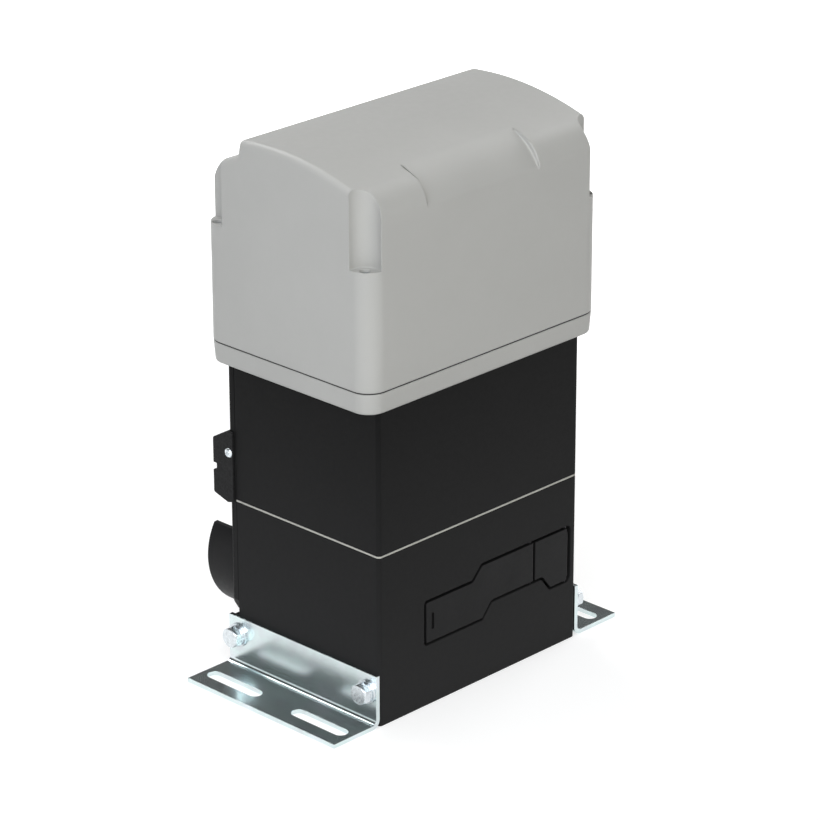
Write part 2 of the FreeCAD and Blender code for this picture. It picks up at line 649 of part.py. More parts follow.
def pinion_guard():
    end = BACK + GUARD_REACH
    inner = GUARD_R - GUARD_WALL
    wall = tube(GUARD_R, inner, (SHAFT_X, BACK, SHAFT_Z), (SHAFT_X, end, SHAFT_Z))
    lip = tube(inner + 1, inner - GUARD_LIP, (SHAFT_X, end - GUARD_LIP_T, SHAFT_Z), (SHAFT_X, end, SHAFT_Z))
    ears = [rod(GUARD_EAR_R, (x, BACK, z), (x, BACK + GUARD_EAR_T, z)) for x, z in guard_screw_places()]
    body = fuse([wall, lip] + ears)
    top = SHAFT_Z + GUARD_OPEN_Z
    body = body.cut(box(SHAFT_X - FAR, SHAFT_X + FAR, BACK - 1, end + 1, top, top + FAR))
    holes = [rod(GUARD_SCREW_R + CLEAR, (x, BACK - 1, z), (x, BACK + GUARD_EAR_T + 1, z))
             for x, z in guard_screw_places()]
    return body.cut(holes)


def guard_screws():
    return [socket_screw(GUARD_SCREW_R, (x, BACK + GUARD_EAR_T, z), (x, 0, z), GUARD_EAR_T + GUARD_SCREW_DEPTH - 1)
            for x, z in guard_screw_places()]


# Limit sensor

def sensor_screw_y():
    return BACK - SENSOR_SCREW_R - 0.9


def sensor_housing():
    left = -BODY_SIDE - SENSOR_SIDE_T
    right = left + SENSOR_WIDTH
    end = BACK + SENSOR_PROUD
    top = SENSOR_LOW + SENSOR_HEIGHT
    outline = [(BACK - SENSOR_WRAP, SENSOR_LOW + 2, 0), (BACK, SENSOR_LOW, 0), (end, SENSOR_LOW + 5, 2),
               (end, top - SENSOR_SLOPE, 3), (BACK, top, 3), (BACK - SENSOR_WRAP, top, 0)]
    shell = prism(outline, side(left), (right - left, 0, 0))
    shell = shell.cut(box(-BODY_SIDE, right + 1, BACK - SENSOR_WRAP - 1, BACK, SENSOR_LOW - 1, top + 1))
    shell = shell.cut(box(left - 1, right + 1, end - SENSOR_NOTCH_D, end + 1,
                          SENSOR_NOTCH_Z, SENSOR_NOTCH_Z + SENSOR_NOTCH_H))
    room_top = SENSOR_NOTCH_Z - SENSOR_WALL
    room = box(-BODY_SIDE + SENSOR_WALL, right - SENSOR_WALL, BACK, end - SENSOR_WALL,
               SENSOR_LOW + 5 + SENSOR_WALL, room_top)
    hole = rod(SENSOR_SCREW_R + 0.2, (left - 1, sensor_screw_y(), SENSOR_SCREW_Z),
               (-BODY_SIDE + 1, sensor_screw_y(), SENSOR_SCREW_Z))
    return shell.cut([room, hole])


def sensor_element():
    length, depth, height = SENSOR_ELEMENT
    middle = -BODY_SIDE - SENSOR_SIDE_T + SENSOR_WIDTH / 2
    low = SENSOR_LOW + 5 + SENSOR_WALL
    height = min(height, SENSOR_NOTCH_Z - SENSOR_WALL - low)
    block = box(middle - length / 2, middle + length / 2, BACK, BACK + depth, low, low + height)
    nose = rod(depth / 3, (middle, BACK + depth, low + height / 2),
               (middle, BACK + SENSOR_PROUD - SENSOR_WALL, low + height / 2))
    return fuse([block, nose])


def sensor_screws():
    left = -BODY_SIDE - SENSOR_SIDE_T
    y = sensor_screw_y()
    head = turned([(0, 0), (SENSOR_SCREW_HEAD_R, 0), (SENSOR_SCREW_HEAD_R, 0.8), (SENSOR_SCREW_HEAD_R * 0.7, 2.0),
                   (0, 2.3)], (left, y, SENSOR_SCREW_Z), (-1, 0, 0))
    stem = rod(SENSOR_SCREW_R - SEAT, (left, y, SENSOR_SCREW_Z), (-BODY_SIDE + SENSOR_SCREW_DEPTH, y, SENSOR_SCREW_Z))
    slot = SENSOR_SCREW_HEAD_R * 0.6
    cross = [box(left - 3, left - 1.2, y - slot, y + slot, SENSOR_SCREW_Z - 0.4, SENSOR_SCREW_Z + 0.4),
             box(left - 3, left - 1.2, y - 0.4, y + 0.4, SENSOR_SCREW_Z - slot, SENSOR_SCREW_Z + slot)]
    return fuse([head, stem]).cut(cross)


# Brackets

def bracket():
    """The left bracket: an angle with a bent heel, two slots in its foot and two bolt holes in its flange."""
    x = -BODY_SIDE
    outer_bend = BRACKET_BEND_R + BRACKET_T
    outline = [(x, BRACKET_HEIGHT, 0), (x, 0, outer_bend), (x - BRACKET_REACH, 0, 0),
               (x - BRACKET_REACH, BRACKET_T, 0), (x - BRACKET_T, BRACKET_T, BRACKET_BEND_R),
               (x - BRACKET_T, BRACKET_HEIGHT, 0)]
    body = prism(outline, facing(FRONT), (0, BODY_Y, 0))
    slot_x = x - SLOT_REACH
    straight = (SLOT_LENGTH - SLOT_WIDTH) / 2
    cuts = []
    for y in (-SLOT_SPACING / 2, SLOT_SPACING / 2):
        cuts.append(rod(SLOT_WIDTH / 2, (slot_x, y - straight, -1), (slot_x, y - straight, BRACKET_T + 1)))
        cuts.append(rod(SLOT_WIDTH / 2, (slot_x, y + straight, -1), (slot_x, y + straight, BRACKET_T + 1)))
        cuts.append(box(slot_x - SLOT_WIDTH / 2, slot_x + SLOT_WIDTH / 2, y - straight, y + straight,
                        -1, BRACKET_T + 1))
    for y in (-BOLT_SPACING / 2, BOLT_SPACING / 2):
        cuts.append(rod(BOLT_R + BOLT_HOLE_PLAY, (x + 1, y, BOLT_Z), (x - BRACKET_T - 1, y, BOLT_Z)))
    return body.cut(fuse(cuts))


def washer(outer, thickness, sign, y, start):
    x = sign * (BODY_SIDE + BRACKET_T + start)
    return tube(outer, BOLT_R + CLEAR, (x, y, BOLT_Z), (x + sign * thickness, y, BOLT_Z))


def bracket_flat_washers():
    return [washer(FLAT_WASHER_R, FLAT_WASHER_T, sign, y, 0) for sign, y in bolt_places()]


def bracket_spring_washers():
    """Split rings: a narrow gap is cut through each."""
    rings = []
    for sign, y in bolt_places():
        ring = washer(SPRING_WASHER_R, SPRING_WASHER_T, sign, y, FLAT_WASHER_T)
        start = sign * (BODY_SIDE + BRACKET_T)
        x0, x1 = sorted((start, start + sign * 10))
        rings.append(ring.cut(box(x0, x1, y - 0.6, y + 0.6, BOLT_Z, BOLT_Z + SPRING_WASHER_R + 1)))
    return rings


def bracket_bolts():
    bolts = []
    for sign, y in bolt_places():
        under = sign * (BODY_SIDE + BRACKET_T + FLAT_WASHER_T + SPRING_WASHER_T)
        head = hexagon(BOLT_FLATS, (under, y, BOLT_Z), (under + sign * BOLT_HEAD, y, BOLT_Z))
        stem = rod(BOLT_R - SEAT, (under, y, BOLT_Z), (sign * (BODY_SIDE - BOLT_DEPTH), y, BOLT_Z))
        bolts.append(fuse([head, stem]))
    return bolts


# Gears

def involute(base_r, radius):
    """The roll angle and turn of an involute where it passes a radius."""
    roll = math.sqrt(max((radius / base_r) ** 2 - 1, 0))
    return roll - math.atan(roll)


def gear_wire(teeth, module, tip_r, root_r, thinning, turn, y):
    """Outline of an involute gear in the XZ plane at a depth y, with its first tooth towards +X."""
    pitch_r = module * teeth / 2
    base_r = pitch_r * math.cos(PRESSURE_ANGLE)
    low_r = max(base_r, root_r + 0.2)
    half = (math.pi * module / 2 - thinning) / 2 / pitch_r + involute(base_r, pitch_r)

    def at(radius, angle):
        return Vector(radius * math.cos(angle), y, -radius * math.sin(angle))

    edges = []
    steps = 4
    radii = [low_r + (tip_r - low_r) * k / steps for k in range(steps + 1)]
    for tooth in range(teeth):
        middle = 2 * math.pi * tooth / teeth + turn
        rising = [at(r, middle - half + involute(base_r, r)) for r in radii]
        falling = [at(r, middle + half - involute(base_r, r)) for r in reversed(radii)]
        following = middle + 2 * math.pi / teeth
        edges.append(Part.makeLine(at(root_r, middle - half), rising[0]))
        edges.append(curve(rising))
        edges.append(Part.Arc(rising[-1], at(tip_r, middle), falling[0]).toShape())
        edges.append(curve(falling))
        edges.append(Part.makeLine(falling[-1], at(root_r, middle + half)))
        edges.append(Part.Arc(at(root_r, middle + half), at(root_r, (middle + following) / 2),
                              at(root_r, following - half)).toShape())
    return Part.Wire(edges)


def curve(points):
    spline = Part.BSplineCurve()
    spline.interpolate(points)
    return spline.toShape()


def worm_wheel():
    """Bronze rim whose teeth lean with the worm's lead."""
    half = WHEEL_WIDTH / 2
    lean = LEAD_SLOPE * half / WHEEL_R
    wires = [gear_wire(WHEEL_TEETH, WORM_MODULE, WHEEL_TIP_R, WHEEL_ROOT_R, GEAR_BACKLASH, turn, y)
             for turn, y in ((-lean, -half), (lean, half))]
    rim = Part.makeLoft(wires, True, True)
    rim.translate(Vector(SHAFT_X, 0, SHAFT_Z))
    return rim.cut(rod(WHEEL_SEAT_R, (SHAFT_X, -half - 1, SHAFT_Z), (SHAFT_X, half + 1, SHAFT_Z)))


def keys_across(width, reach, y0, y1):
    """Two opposite keys through the output shaft, above and below its axis."""
    return [box(SHAFT_X - width / 2, SHAFT_X + width / 2, y0, y1, SHAFT_Z + PLUNGER_R + 1, SHAFT_Z + reach),
            box(SHAFT_X - width / 2, SHAFT_X + width / 2, y0, y1, SHAFT_Z - reach, SHAFT_Z - PLUNGER_R - 1)]


def wheel_hub():
    half = HUB_WIDTH / 2
    rim_half = WHEEL_WIDTH / 2
    web = WEB_T / 2
    rim_in = WHEEL_SEAT_R - 5
    outline = [(HUB_SEAT_R, -half), (HUB_R, -half), (HUB_R, -web), (rim_in, -web), (rim_in, -rim_half),
               (WHEEL_SEAT_R, -rim_half), (WHEEL_SEAT_R, rim_half), (rim_in, rim_half), (rim_in, web),
               (HUB_R, web), (HUB_R, half), (HUB_SEAT_R, half)]
    hub = turned(outline, (SHAFT_X, 0, SHAFT_Z), (0, 1, 0))
    key_half = DRIVE_KEY_LENGTH / 2
    return hub.cut(keys_across(DRIVE_KEY, HUB_SEAT_R + DRIVE_KEY_REACH, -key_half, key_half))


def drive_keys():
    key_half = DRIVE_KEY_LENGTH / 2
    return keys_across(DRIVE_KEY, HUB_SEAT_R + DRIVE_KEY_REACH, -key_half, key_half)


def output_shaft():
    front_end = FRONT_BEARING_Y + FRONT_BEARING_W
    hub_half = HUB_WIDTH / 2
    outline = [(PLUNGER_R + CLEAR, FRONT_BEARING_Y), (FRONT_SEAT_R, FRONT_BEARING_Y), (FRONT_SEAT_R, front_end + CLEAR),
               (HUB_SEAT_R, front_end + CLEAR), (HUB_SEAT_R, hub_half), (COLLAR_R, hub_half),
               (COLLAR_R, REAR_BEARING_Y - CLEAR), (REAR_SEAT_R, REAR_BEARING_Y - CLEAR),
               (REAR_SEAT_R, PINION_LOW_Y), (PINION_SEAT_R, PINION_LOW_Y), (PINION_SEAT_R, PINION_HIGH_Y),
               (0, PINION_HIGH_Y), (0, hub_half + 4), (PLUNGER_R + CLEAR, hub_half)]
    shaft = turned(outline, (SHAFT_X, 0, SHAFT_Z), (0, 1, 0))
    key_half = DRIVE_KEY_LENGTH / 2
    cuts = keys_across(DRIVE_KEY, HUB_SEAT_R + 1, -key_half, key_half)
    cuts.append(pinion_key_block(0))
    cuts.append(rod(PINION_SCREW_R, (SHAFT_X, PINION_HIGH_Y - PINION_SCREW_DEPTH - 1, SHAFT_Z),
                    (SHAFT_X, PINION_HIGH_Y + 1, SHAFT_Z)))
    return shaft.cut(cuts)


def pinion_key_block(end_play):
    half = PINION_KEY / 2
    return box(SHAFT_X - half, SHAFT_X + half, PINION_LOW_Y + 2 - end_play, PINION_HIGH_Y + end_play,
               SHAFT_Z + PINION_SEAT_R - half, SHAFT_Z + PINION_SEAT_R + half)


def pinion_key():
    return pinion_key_block(0)


def drive_pinion():
    root_r = PINION_R - 1.25 * PINION_MODULE
    wire = gear_wire(PINION_TEETH, PINION_MODULE, PINION_R + PINION_MODULE, root_r, 0.2, 0, PINION_LOW_Y)
    wire.translate(Vector(SHAFT_X, 0, SHAFT_Z))
    pinion = Part.Face(wire).extrude(Vector(0, PINION_WIDTH, 0))
    cuts = [rod(PINION_SEAT_R, (SHAFT_X, PINION_LOW_Y - 1, SHAFT_Z), (SHAFT_X, PINION_HIGH_Y + 1, SHAFT_Z))]
    cuts.append(pinion_key_block(2.5))
    return pinion.cut(cuts)


def pinion_washer():
    return tube(PINION_WASHER_R, PINION_SCREW_R + CLEAR, (SHAFT_X, PINION_HIGH_Y, SHAFT_Z),
                (SHAFT_X, PINION_HIGH_Y + PINION_WASHER_T, SHAFT_Z))


def pinion_screw():
    start = PINION_HIGH_Y + PINION_WASHER_T
    head = hexagon(PINION_SCREW_FLATS, (SHAFT_X, start, SHAFT_Z), (SHAFT_X, start + PINION_SCREW_HEAD, SHAFT_Z))
    stem = rod(PINION_SCREW_R - SEAT, (SHAFT_X, start, SHAFT_Z), (SHAFT_X, PINION_HIGH_Y - PINION_SCREW_DEPTH, SHAFT_Z))
    return fuse([head, stem])


def output_bearings():
    return [bearing(FRONT_SEAT_R, FRONT_BEARING_R, FRONT_BEARING_W, (SHAFT_X, FRONT_BEARING_Y, SHAFT_Z), (0, 1, 0)),
            bearing(REAR_SEAT_R, REAR_BEARING_R, REAR_BEARING_W, (SHAFT_X, REAR_BEARING_Y, SHAFT_Z), (0, 1, 0))]


def shaft_seal():
    """Lip seal in the back plate: its lip runs on the shaft."""
    start = BACK - SEAL_T - 0.5
    outline = [(REAR_SEAT_R + RUNNING, 2.0), (REAR_SEAT_R + RUNNING, 3.0), (REAR_SEAT_R + 3, 1.5),
               (SEAL_R - 2, 1.5), (SEAL_R - 2, 0), (SEAL_R - SEAT, 0), (SEAL_R - SEAT, SEAL_T),
               (REAR_SEAT_R + 1.5, SEAL_T), (REAR_SEAT_R + 1.5, SEAL_T - 2)]
    return turned(outline, (SHAFT_X, start, SHAFT_Z), (0, 1, 0))


# Worm shaft, clutch and motor

def worm_shaft():
    """Shaft with a right-handed single-start worm, cut as one helical ridge on its core."""
    length = WORM_PITCH * WORM_TURNS
    low = SHAFT_Z - length / 2
    core_low = low - WORM_PITCH / 2
    core_high = SHAFT_Z + length / 2 + WORM_PITCH / 2
    spring_top = CLUTCH_Z + clutch_height()
    outline = [(0, LOWER_BEARING_Z + CLEAR), (LOWER_SEAT_R, LOWER_BEARING_Z + CLEAR),
               (LOWER_SEAT_R, LOWER_BOSS_TOP), (WORM_SHOULDER_R, LOWER_BOSS_TOP),
               (WORM_SHOULDER_R, core_low), (WORM_ROOT_R, core_low + 1), (WORM_ROOT_R, core_high - 1),
               (WORM_SHOULDER_R, core_high), (WORM_SHOULDER_R, UPPER_BEARING_Z - CLEAR),
               (UPPER_SEAT_R, UPPER_BEARING_Z - CLEAR), (UPPER_SEAT_R, spring_top), (0, spring_top)]
    core = turned(outline, (WORM_X, 0, 0), (0, 0, 1))
    slope = math.tan(PRESSURE_ANGLE)
    half_pitch = (WORM_PITCH / 2 - GEAR_BACKLASH) / 2
    sunk_r = WORM_ROOT_R - 1
    wide = half_pitch + (WORM_PITCH_R - sunk_r) * slope
    narrow = half_pitch - (WORM_TIP_R - WORM_PITCH_R) * slope
    points = [Vector(sunk_r, 0, -wide), Vector(WORM_TIP_R, 0, -narrow), Vector(WORM_TIP_R, 0, narrow),
              Vector(sunk_r, 0, wide), Vector(sunk_r, 0, -wide)]
    helix = Part.Wire(Part.makeHelix(WORM_PITCH, length, WORM_PITCH_R).Edges)
    ridge = helix.makePipeShell([Part.makePolygon(points)], True, True)
    ridge.rotate(Vector(0, 0, 0), Vector(0, 0, 1), 180 * WORM_TURNS)
    ridge.translate(Vector(WORM_X, 0, low))
    return core.fuse(ridge)


def clutch_height():
    stack = 2 * CLUTCH_PLATE_T + 2 * CLUTCH_DISC_T + CLUTCH_DRIVER_T
    return stack + CLUTCH_SPRING_T + CLUTCH_NUT_T


def clutch_plates():
    upper = DRIVER_Z + CLUTCH_DRIVER_T + CLUTCH_DISC_T
    return [tube(CLUTCH_DISC_R, UPPER_SEAT_R, (WORM_X, 0, z), (WORM_X, 0, z + CLUTCH_PLATE_T))
            for z in (CLUTCH_Z, upper)]


def clutch_discs():
    inner = UPPER_SEAT_R + 6
    return [tube(CLUTCH_DISC_R, inner, (WORM_X, 0, z), (WORM_X, 0, z + CLUTCH_DISC_T))
            for z in (CLUTCH_Z + CLUTCH_PLATE_T, DRIVER_Z + CLUTCH_DRIVER_T)]


def clutch_spring():
    """Two disc springs, one turned over on the other."""
    z = DRIVER_Z + CLUTCH_DRIVER_T + CLUTCH_DISC_T + CLUTCH_PLATE_T
    half = CLUTCH_SPRING_T / 2
    sheet = half * 0.5
    outline = [(UPPER_SEAT_R, half - sheet), (CLUTCH_SPRING_R, 0), (CLUTCH_SPRING_R, sheet), (UPPER_SEAT_R, half)]
    upper = [(radius, CLUTCH_SPRING_T - along) for radius, along in reversed(outline)]
    return [turned(outline, (WORM_X, 0, z), (0, 0, 1)), turned(upper, (WORM_X, 0, z), (0, 0, 1))]


def clutch_nut():
    z = CLUTCH_Z + clutch_height() - CLUTCH_NUT_T
    ring = tube(CLUTCH_NUT_R, UPPER_SEAT_R, (WORM_X, 0, z), (WORM_X, 0, z + CLUTCH_NUT_T))
    notches = [box(WORM_X - 2, WORM_X + 2, sign * CLUTCH_NUT_R - 2, sign * CLUTCH_NUT_R + 2, z - 1, z + CLUTCH_NUT_T + 1)
               for sign in (-1, 1)]
    return ring.cut(notches)


def clutch_drum():
    """Driver disc, drum and hub in one: it carries the motor's turn to the friction discs."""
    top = CLUTCH_DRUM_TOP
    inner = CLUTCH_DRUM_R - CLUTCH_DRUM_WALL
    outline = [(UPPER_SEAT_R + 6, DRIVER_Z), (CLUTCH_DRUM_R, DRIVER_Z), (CLUTCH_DRUM_R, top), (MOTOR_SHAFT_R, top),
               (MOTOR_SHAFT_R, top - CLUTCH_DRUM_WALL), (inner, top - CLUTCH_DRUM_WALL),
               (inner, DRIVER_Z + CLUTCH_DRIVER_T), (UPPER_SEAT_R + 6, DRIVER_Z + CLUTCH_DRIVER_T)]
    return turned(outline, (WORM_X, 0, 0), (0, 0, 1))


def motor_shaft():
    low = CLUTCH_DRUM_TOP - CLUTCH_DRUM_WALL
    outline = [(0, low), (MOTOR_SHAFT_R, low), (MOTOR_SHAFT_R, TOP_BEARING_Z - CLEAR),
               (TOP_SEAT_R, TOP_BEARING_Z - CLEAR), (TOP_SEAT_R, SHIELD_TOP + 2), (0, SHIELD_TOP + 2)]
    return turned(outline, (WORM_X, 0, 0), (0, 0, 1))


def rotor_core():
    """Laminated core with its end rings."""
    ring = 4.0
    outline = [(MOTOR_SHAFT_R, STATOR_LOW), (ROTOR_R - 9, STATOR_LOW), (ROTOR_R - 9, STATOR_LOW - ring),
               (ROTOR_R - 2, STATOR_LOW - ring), (ROTOR_R - 2, STATOR_LOW), (ROTOR_R, STATOR_LOW),
               (ROTOR_R, STATOR_TOP), (ROTOR_R - 2, STATOR_TOP), (ROTOR_R - 2, STATOR_TOP + ring),
               (ROTOR_R - 9, STATOR_TOP + ring), (ROTOR_R - 9, STATOR_TOP), (MOTOR_SHAFT_R, STATOR_TOP)]
    return turned(outline, (WORM_X, 0, 0), (0, 0, 1))


def stator_core():
    return tube(STATOR_R - SEAT, ROTOR_R + AIR_GAP, (WORM_X, 0, STATOR_LOW), (WORM_X, 0, STATOR_TOP))


def stator_windings():
    bevel = 3.0
    inner, outer = WINDING_IN_R, WINDING_OUT_R
    outline = [(inner, 0), (outer, 0), (outer, WINDING_HEIGHT - bevel), (outer - bevel, WINDING_HEIGHT),
               (inner + bevel, WINDING_HEIGHT), (inner, WINDING_HEIGHT - bevel)]
    return [turned(outline, (WORM_X, 0, STATOR_LOW), (0, 0, -1)), turned(outline, (WORM_X, 0, STATOR_TOP), (0, 0, 1))]


def motor_end_shield():
    rim_low = STATOR_RING_TOP
    outer = STATOR_R + STATOR_RING_WALL
    disc_low = SHIELD_TOP - SHIELD_T
    boss_low = TOP_BEARING_Z - 2
    outline = [(TOP_SEAT_R + 3, boss_low), (SHIELD_BOSS_R, boss_low), (SHIELD_BOSS_R, disc_low),
               (STATOR_R, disc_low), (STATOR_R, rim_low), (outer, rim_low), (outer, SHIELD_TOP),
               (TOP_BEARING_R, SHIELD_TOP), (TOP_BEARING_R, TOP_BEARING_Z), (TOP_SEAT_R + 3, TOP_BEARING_Z)]
    return turned(outline, (WORM_X, 0, 0), (0, 0, 1))


def worm_bearings():
    return [bearing(LOWER_SEAT_R, LOWER_BEARING_R, LOWER_BEARING_W, (WORM_X, 0, LOWER_BEARING_Z), (0, 0, 1)),
            bearing(UPPER_SEAT_R, UPPER_BEARING_R, UPPER_BEARING_W, (WORM_X, 0, UPPER_BEARING_Z), (0, 0, 1))]


def motor_bearing():
    return bearing(TOP_SEAT_R, TOP_BEARING_R, TOP_BEARING_W, (WORM_X, 0, TOP_BEARING_Z), (0, 0, 1))


def oil_plug(base, axis):
    flange = OIL_PLUG_R + 3
    outline = [(0, -OIL_PLUG_DEPTH), (OIL_PLUG_R - SEAT, -OIL_PLUG_DEPTH), (OIL_PLUG_R - SEAT, 0), (flange, 0),
               (flange, 3), (0, 3)]
    plug = turned(outline, base, axis)
    start = Vector(*base)
    along = Vector(*axis)
    return plug.cut(hexagon(8.0, tuple(start - along * 3), tuple(start + along * 4)))


def oil_plugs():
    x, y = OIL_FILL
    return [oil_plug((OIL_PLUG_X, BACK, OIL_PLUG_Z), (0, 1, 0)), oil_plug((x, y, UPPER_FLOOR_TOP), (0, 0, 1))]


# Release lever, lock cover, lock barrel and plunger

def lever_outline():
    return inset_corners(pocket_corners(), LEVER_GAP)


def release_lever():
    body = prism(lever_outline(), facing(FRONT), (0, LEVER_T, 0))
    body = body.cut(box(LEVER_PIN_X, FAR, FRONT - 1, BACK, 0, LOWER_TOP))
    low = POCKET_MID_LOW + LEVER_GAP
    high = POCKET_HIGH - LEVER_GAP
    knuckle = rod(LEVER_KNUCKLE_R, (LEVER_PIN_X, LEVER_PIN_Y, low), (LEVER_PIN_X, LEVER_PIN_Y, high))
    body = fuse([body, knuckle])
    grip_z = (POCKET_LOW + POCKET_LEFT_TOP) / 2
    groove = rectangle(LEVER_GRIP_X - LEVER_GRIP_W / 2, LEVER_GRIP_X + LEVER_GRIP_W / 2,
                       grip_z - LEVER_GRIP_H / 2, grip_z + LEVER_GRIP_H / 2, LEVER_GRIP_W * 0.4)
    body = body.cut(prism(groove, facing(FRONT - 1), (0, LEVER_GRIP_D + 1, 0)))
    return body.cut(rod(LEVER_PIN_R + RUNNING * 2, (LEVER_PIN_X, LEVER_PIN_Y, 0), (LEVER_PIN_X, LEVER_PIN_Y, LOWER_TOP)))


def lever_pin():
    return rod(LEVER_PIN_R - SEAT / 2, (LEVER_PIN_X, LEVER_PIN_Y, POCKET_MID_LOW - PIN_HOLD),
               (LEVER_PIN_X, LEVER_PIN_Y, POCKET_HIGH + PIN_HOLD))


def lock_cover():
    body = prism(lever_outline(), facing(FRONT), (0, FLAP_T, 0))
    body = body.cut(box(-FAR, FLAP_LEFT, FRONT - 1, BACK, 0, LOWER_TOP))
    body = body.cut(box(FLAP_PIN_X, FAR, FRONT - 1, BACK, 0, LOWER_TOP))
    low = POCKET_LOW + LEVER_GAP + POCKET_CORNER_R
    high = POCKET_HIGH - LEVER_GAP - POCKET_CORNER_R
    knuckle = rod(FLAP_KNUCKLE_R, (FLAP_PIN_X, FLAP_PIN_Y, low), (FLAP_PIN_X, FLAP_PIN_Y, high))
    body = fuse([body, knuckle])
    return body.cut(rod(FLAP_PIN_R + RUNNING * 2, (FLAP_PIN_X, FLAP_PIN_Y, 0), (FLAP_PIN_X, FLAP_PIN_Y, LOWER_TOP)))


def lock_cover_pin():
    return rod(FLAP_PIN_R - SEAT / 2, (FLAP_PIN_X, FLAP_PIN_Y, POCKET_LOW - PIN_HOLD),
               (FLAP_PIN_X, FLAP_PIN_Y, POCKET_HIGH + PIN_HOLD))


def lock_barrel():
    face = POCKET_FLOOR - BARREL_PROUD
    body = rod(BARREL_R, (BARREL_X, face, BARREL_Z), (BARREL_X, POCKET_FLOOR + BARREL_DEPTH - CLEAR, BARREL_Z))
    keyway = box(BARREL_X - KEYWAY_W / 2, BARREL_X + KEYWAY_W / 2, face - 1, face + KEYWAY_D,
                 BARREL_Z - KEYWAY_H / 2, BARREL_Z + KEYWAY_H / 2)
    return body.cut(keyway)


def release_plunger():
    lever_back = FRONT + LEVER_T
    head_low = lever_back + CLEAR
    outline = [(0, 0), (PLUNGER_HEAD_R, 0), (PLUNGER_HEAD_R, PLUNGER_HEAD_T), (PLUNGER_R, PLUNGER_HEAD_T),
               (PLUNGER_R, PLUNGER_REACH - 4), (PLUNGER_R / 2, PLUNGER_REACH), (0, PLUNGER_REACH)]
    return turned(outline, (SHAFT_X, head_low, SHAFT_Z), (0, 1, 0))


# Cover base, seal and cover

def plan_corners(inset):
    half_x = COVER_X / 2 - inset
    half_y = COVER_Y / 2 - inset
    return rectangle(-half_x, half_x, -half_y, half_y, COVER_CORNER_R - inset)


def flutes():
    """For each corner: the flute's circle and the screw's place, from where the flute cuts the two faces."""
    found = []
    for sign_x in (-1, 1):
        for sign_y, along in ((-1, FLUTE_SIDE_FRONT), (1, FLUTE_SIDE_BACK)):
            on_side = Vector(sign_x * COVER_X / 2, sign_y * (COVER_Y / 2 - along), 0)
            on_face = Vector(sign_x * (COVER_X / 2 - FLUTE_FACE), sign_y * COVER_Y / 2, 0)
            middle = (on_side + on_face) * 0.5
            half = (on_side - on_face).Length / 2
            inward = Vector(-sign_x * along, -sign_y * FLUTE_FACE, 0).normalize()
            radius = (half ** 2 + FLUTE_DEPTH ** 2) / (2 * FLUTE_DEPTH)
            centre = middle - inward * (radius - FLUTE_DEPTH)
            found.append((centre, radius, middle))
    return found


def cover_base():
    low_inset = BASE_TAPER
    wires = [rounded_wire(plan_corners(low_inset), flat(BASE_LOW)), rounded_wire(plan_corners(0), flat(BASE_TOP))]
    body = Part.makeLoft(wires, True, True)
    low_edges = [edge for edge in body.Edges if abs(edge.CenterOfMass.z - BASE_LOW) < 0.01]
    body = body.makeFillet(BASE_EDGE_R, low_edges)
    pocket = prism(plan_corners(COVER_WALL), flat(TRAY_Z), (0, 0, FAR))
    pillars = [rod(COVER_PILLAR_R, (spot.x, spot.y, TRAY_Z), (spot.x, spot.y, BASE_TOP))
               for centre, radius, spot in flutes()]
    body = body.cut(pocket.cut(fuse(pillars)))
    cuts = [rod(DUCT_R + 1, (DUCT_X, DUCT_Y, BASE_LOW - 1), (DUCT_X, DUCT_Y, TRAY_Z + 1))]
    for centre, radius, spot in flutes():
        cuts.append(rod(COVER_SCREW_R + SEAT, (spot.x, spot.y, BASE_LOW + 2), (spot.x, spot.y, BASE_TOP + 1)))
    for x, y in housing_screw_places():
        cuts.append(rod(BASE_SCREW_R + CLEAR, (x, y, BASE_LOW - 1), (x, y, TRAY_Z + 1)))
    return body.cut(cuts)


def cover_base_screws():
    return [socket_screw(BASE_SCREW_R, (x, y, TRAY_Z), (x, y, 0), BASE_FLOOR + BASE_SCREW_DEPTH - 1)
            for x, y in housing_screw_places()]


def cover_seal():
    outer = prism(plan_corners(SEAL_INSET), flat(BASE_TOP), (0, 0, COVER_SEAL_T))
    cuts = [prism(plan_corners(COVER_WALL), flat(BASE_TOP - 1), (0, 0, COVER_SEAL_T + 2))]
    for centre, radius, spot in flutes():
        cuts.append(rod(COVER_SCREW_R + COVER_SCREW_PLAY, (spot.x, spot.y, BASE_TOP - 1),
                        (spot.x, spot.y, COVER_LOW + 1)))
    return outer.cut(cuts)


def crown_line(y):
    """Height and slope of the crown where its arc passes y."""
    lean = (CROWN_Y - y) / CROWN_R
    height = CROWN_TOP - CROWN_R + CROWN_R * math.sqrt(1 - lean ** 2)
    return height, lean / math.sqrt(1 - lean ** 2)


def cover_corners(low):
    """Side outline (Y, Z) of the cover, from its front face over the crown and the step to its back face."""
    half_y = COVER_Y / 2
    front_z, front_slope = crown_line(CROWN_FRONT_Y)
    back_z, back_slope = crown_line(CROWN_BACK_Y)
    apex_y = (back_z - front_z + front_slope * CROWN_FRONT_Y - back_slope * CROWN_BACK_Y) / (front_slope - back_slope)
    apex_z = front_z + front_slope * (apex_y - CROWN_FRONT_Y)
    return [(-half_y, low, 0), (-half_y, front_z + front_slope * (-half_y - CROWN_FRONT_Y), FRONT_ROUND_R),
            (apex_y, apex_z, CROWN_R), (RIDGE_Y, back_z + back_slope * (RIDGE_Y - CROWN_BACK_Y), RIDGE_R),
            (STEP_Y, STEP_Z, STEP_R), (half_y, STEP_Z - SHOULDER_SLOPE * (half_y - STEP_Y), SHOULDER_R),
            (half_y, low, 0)]


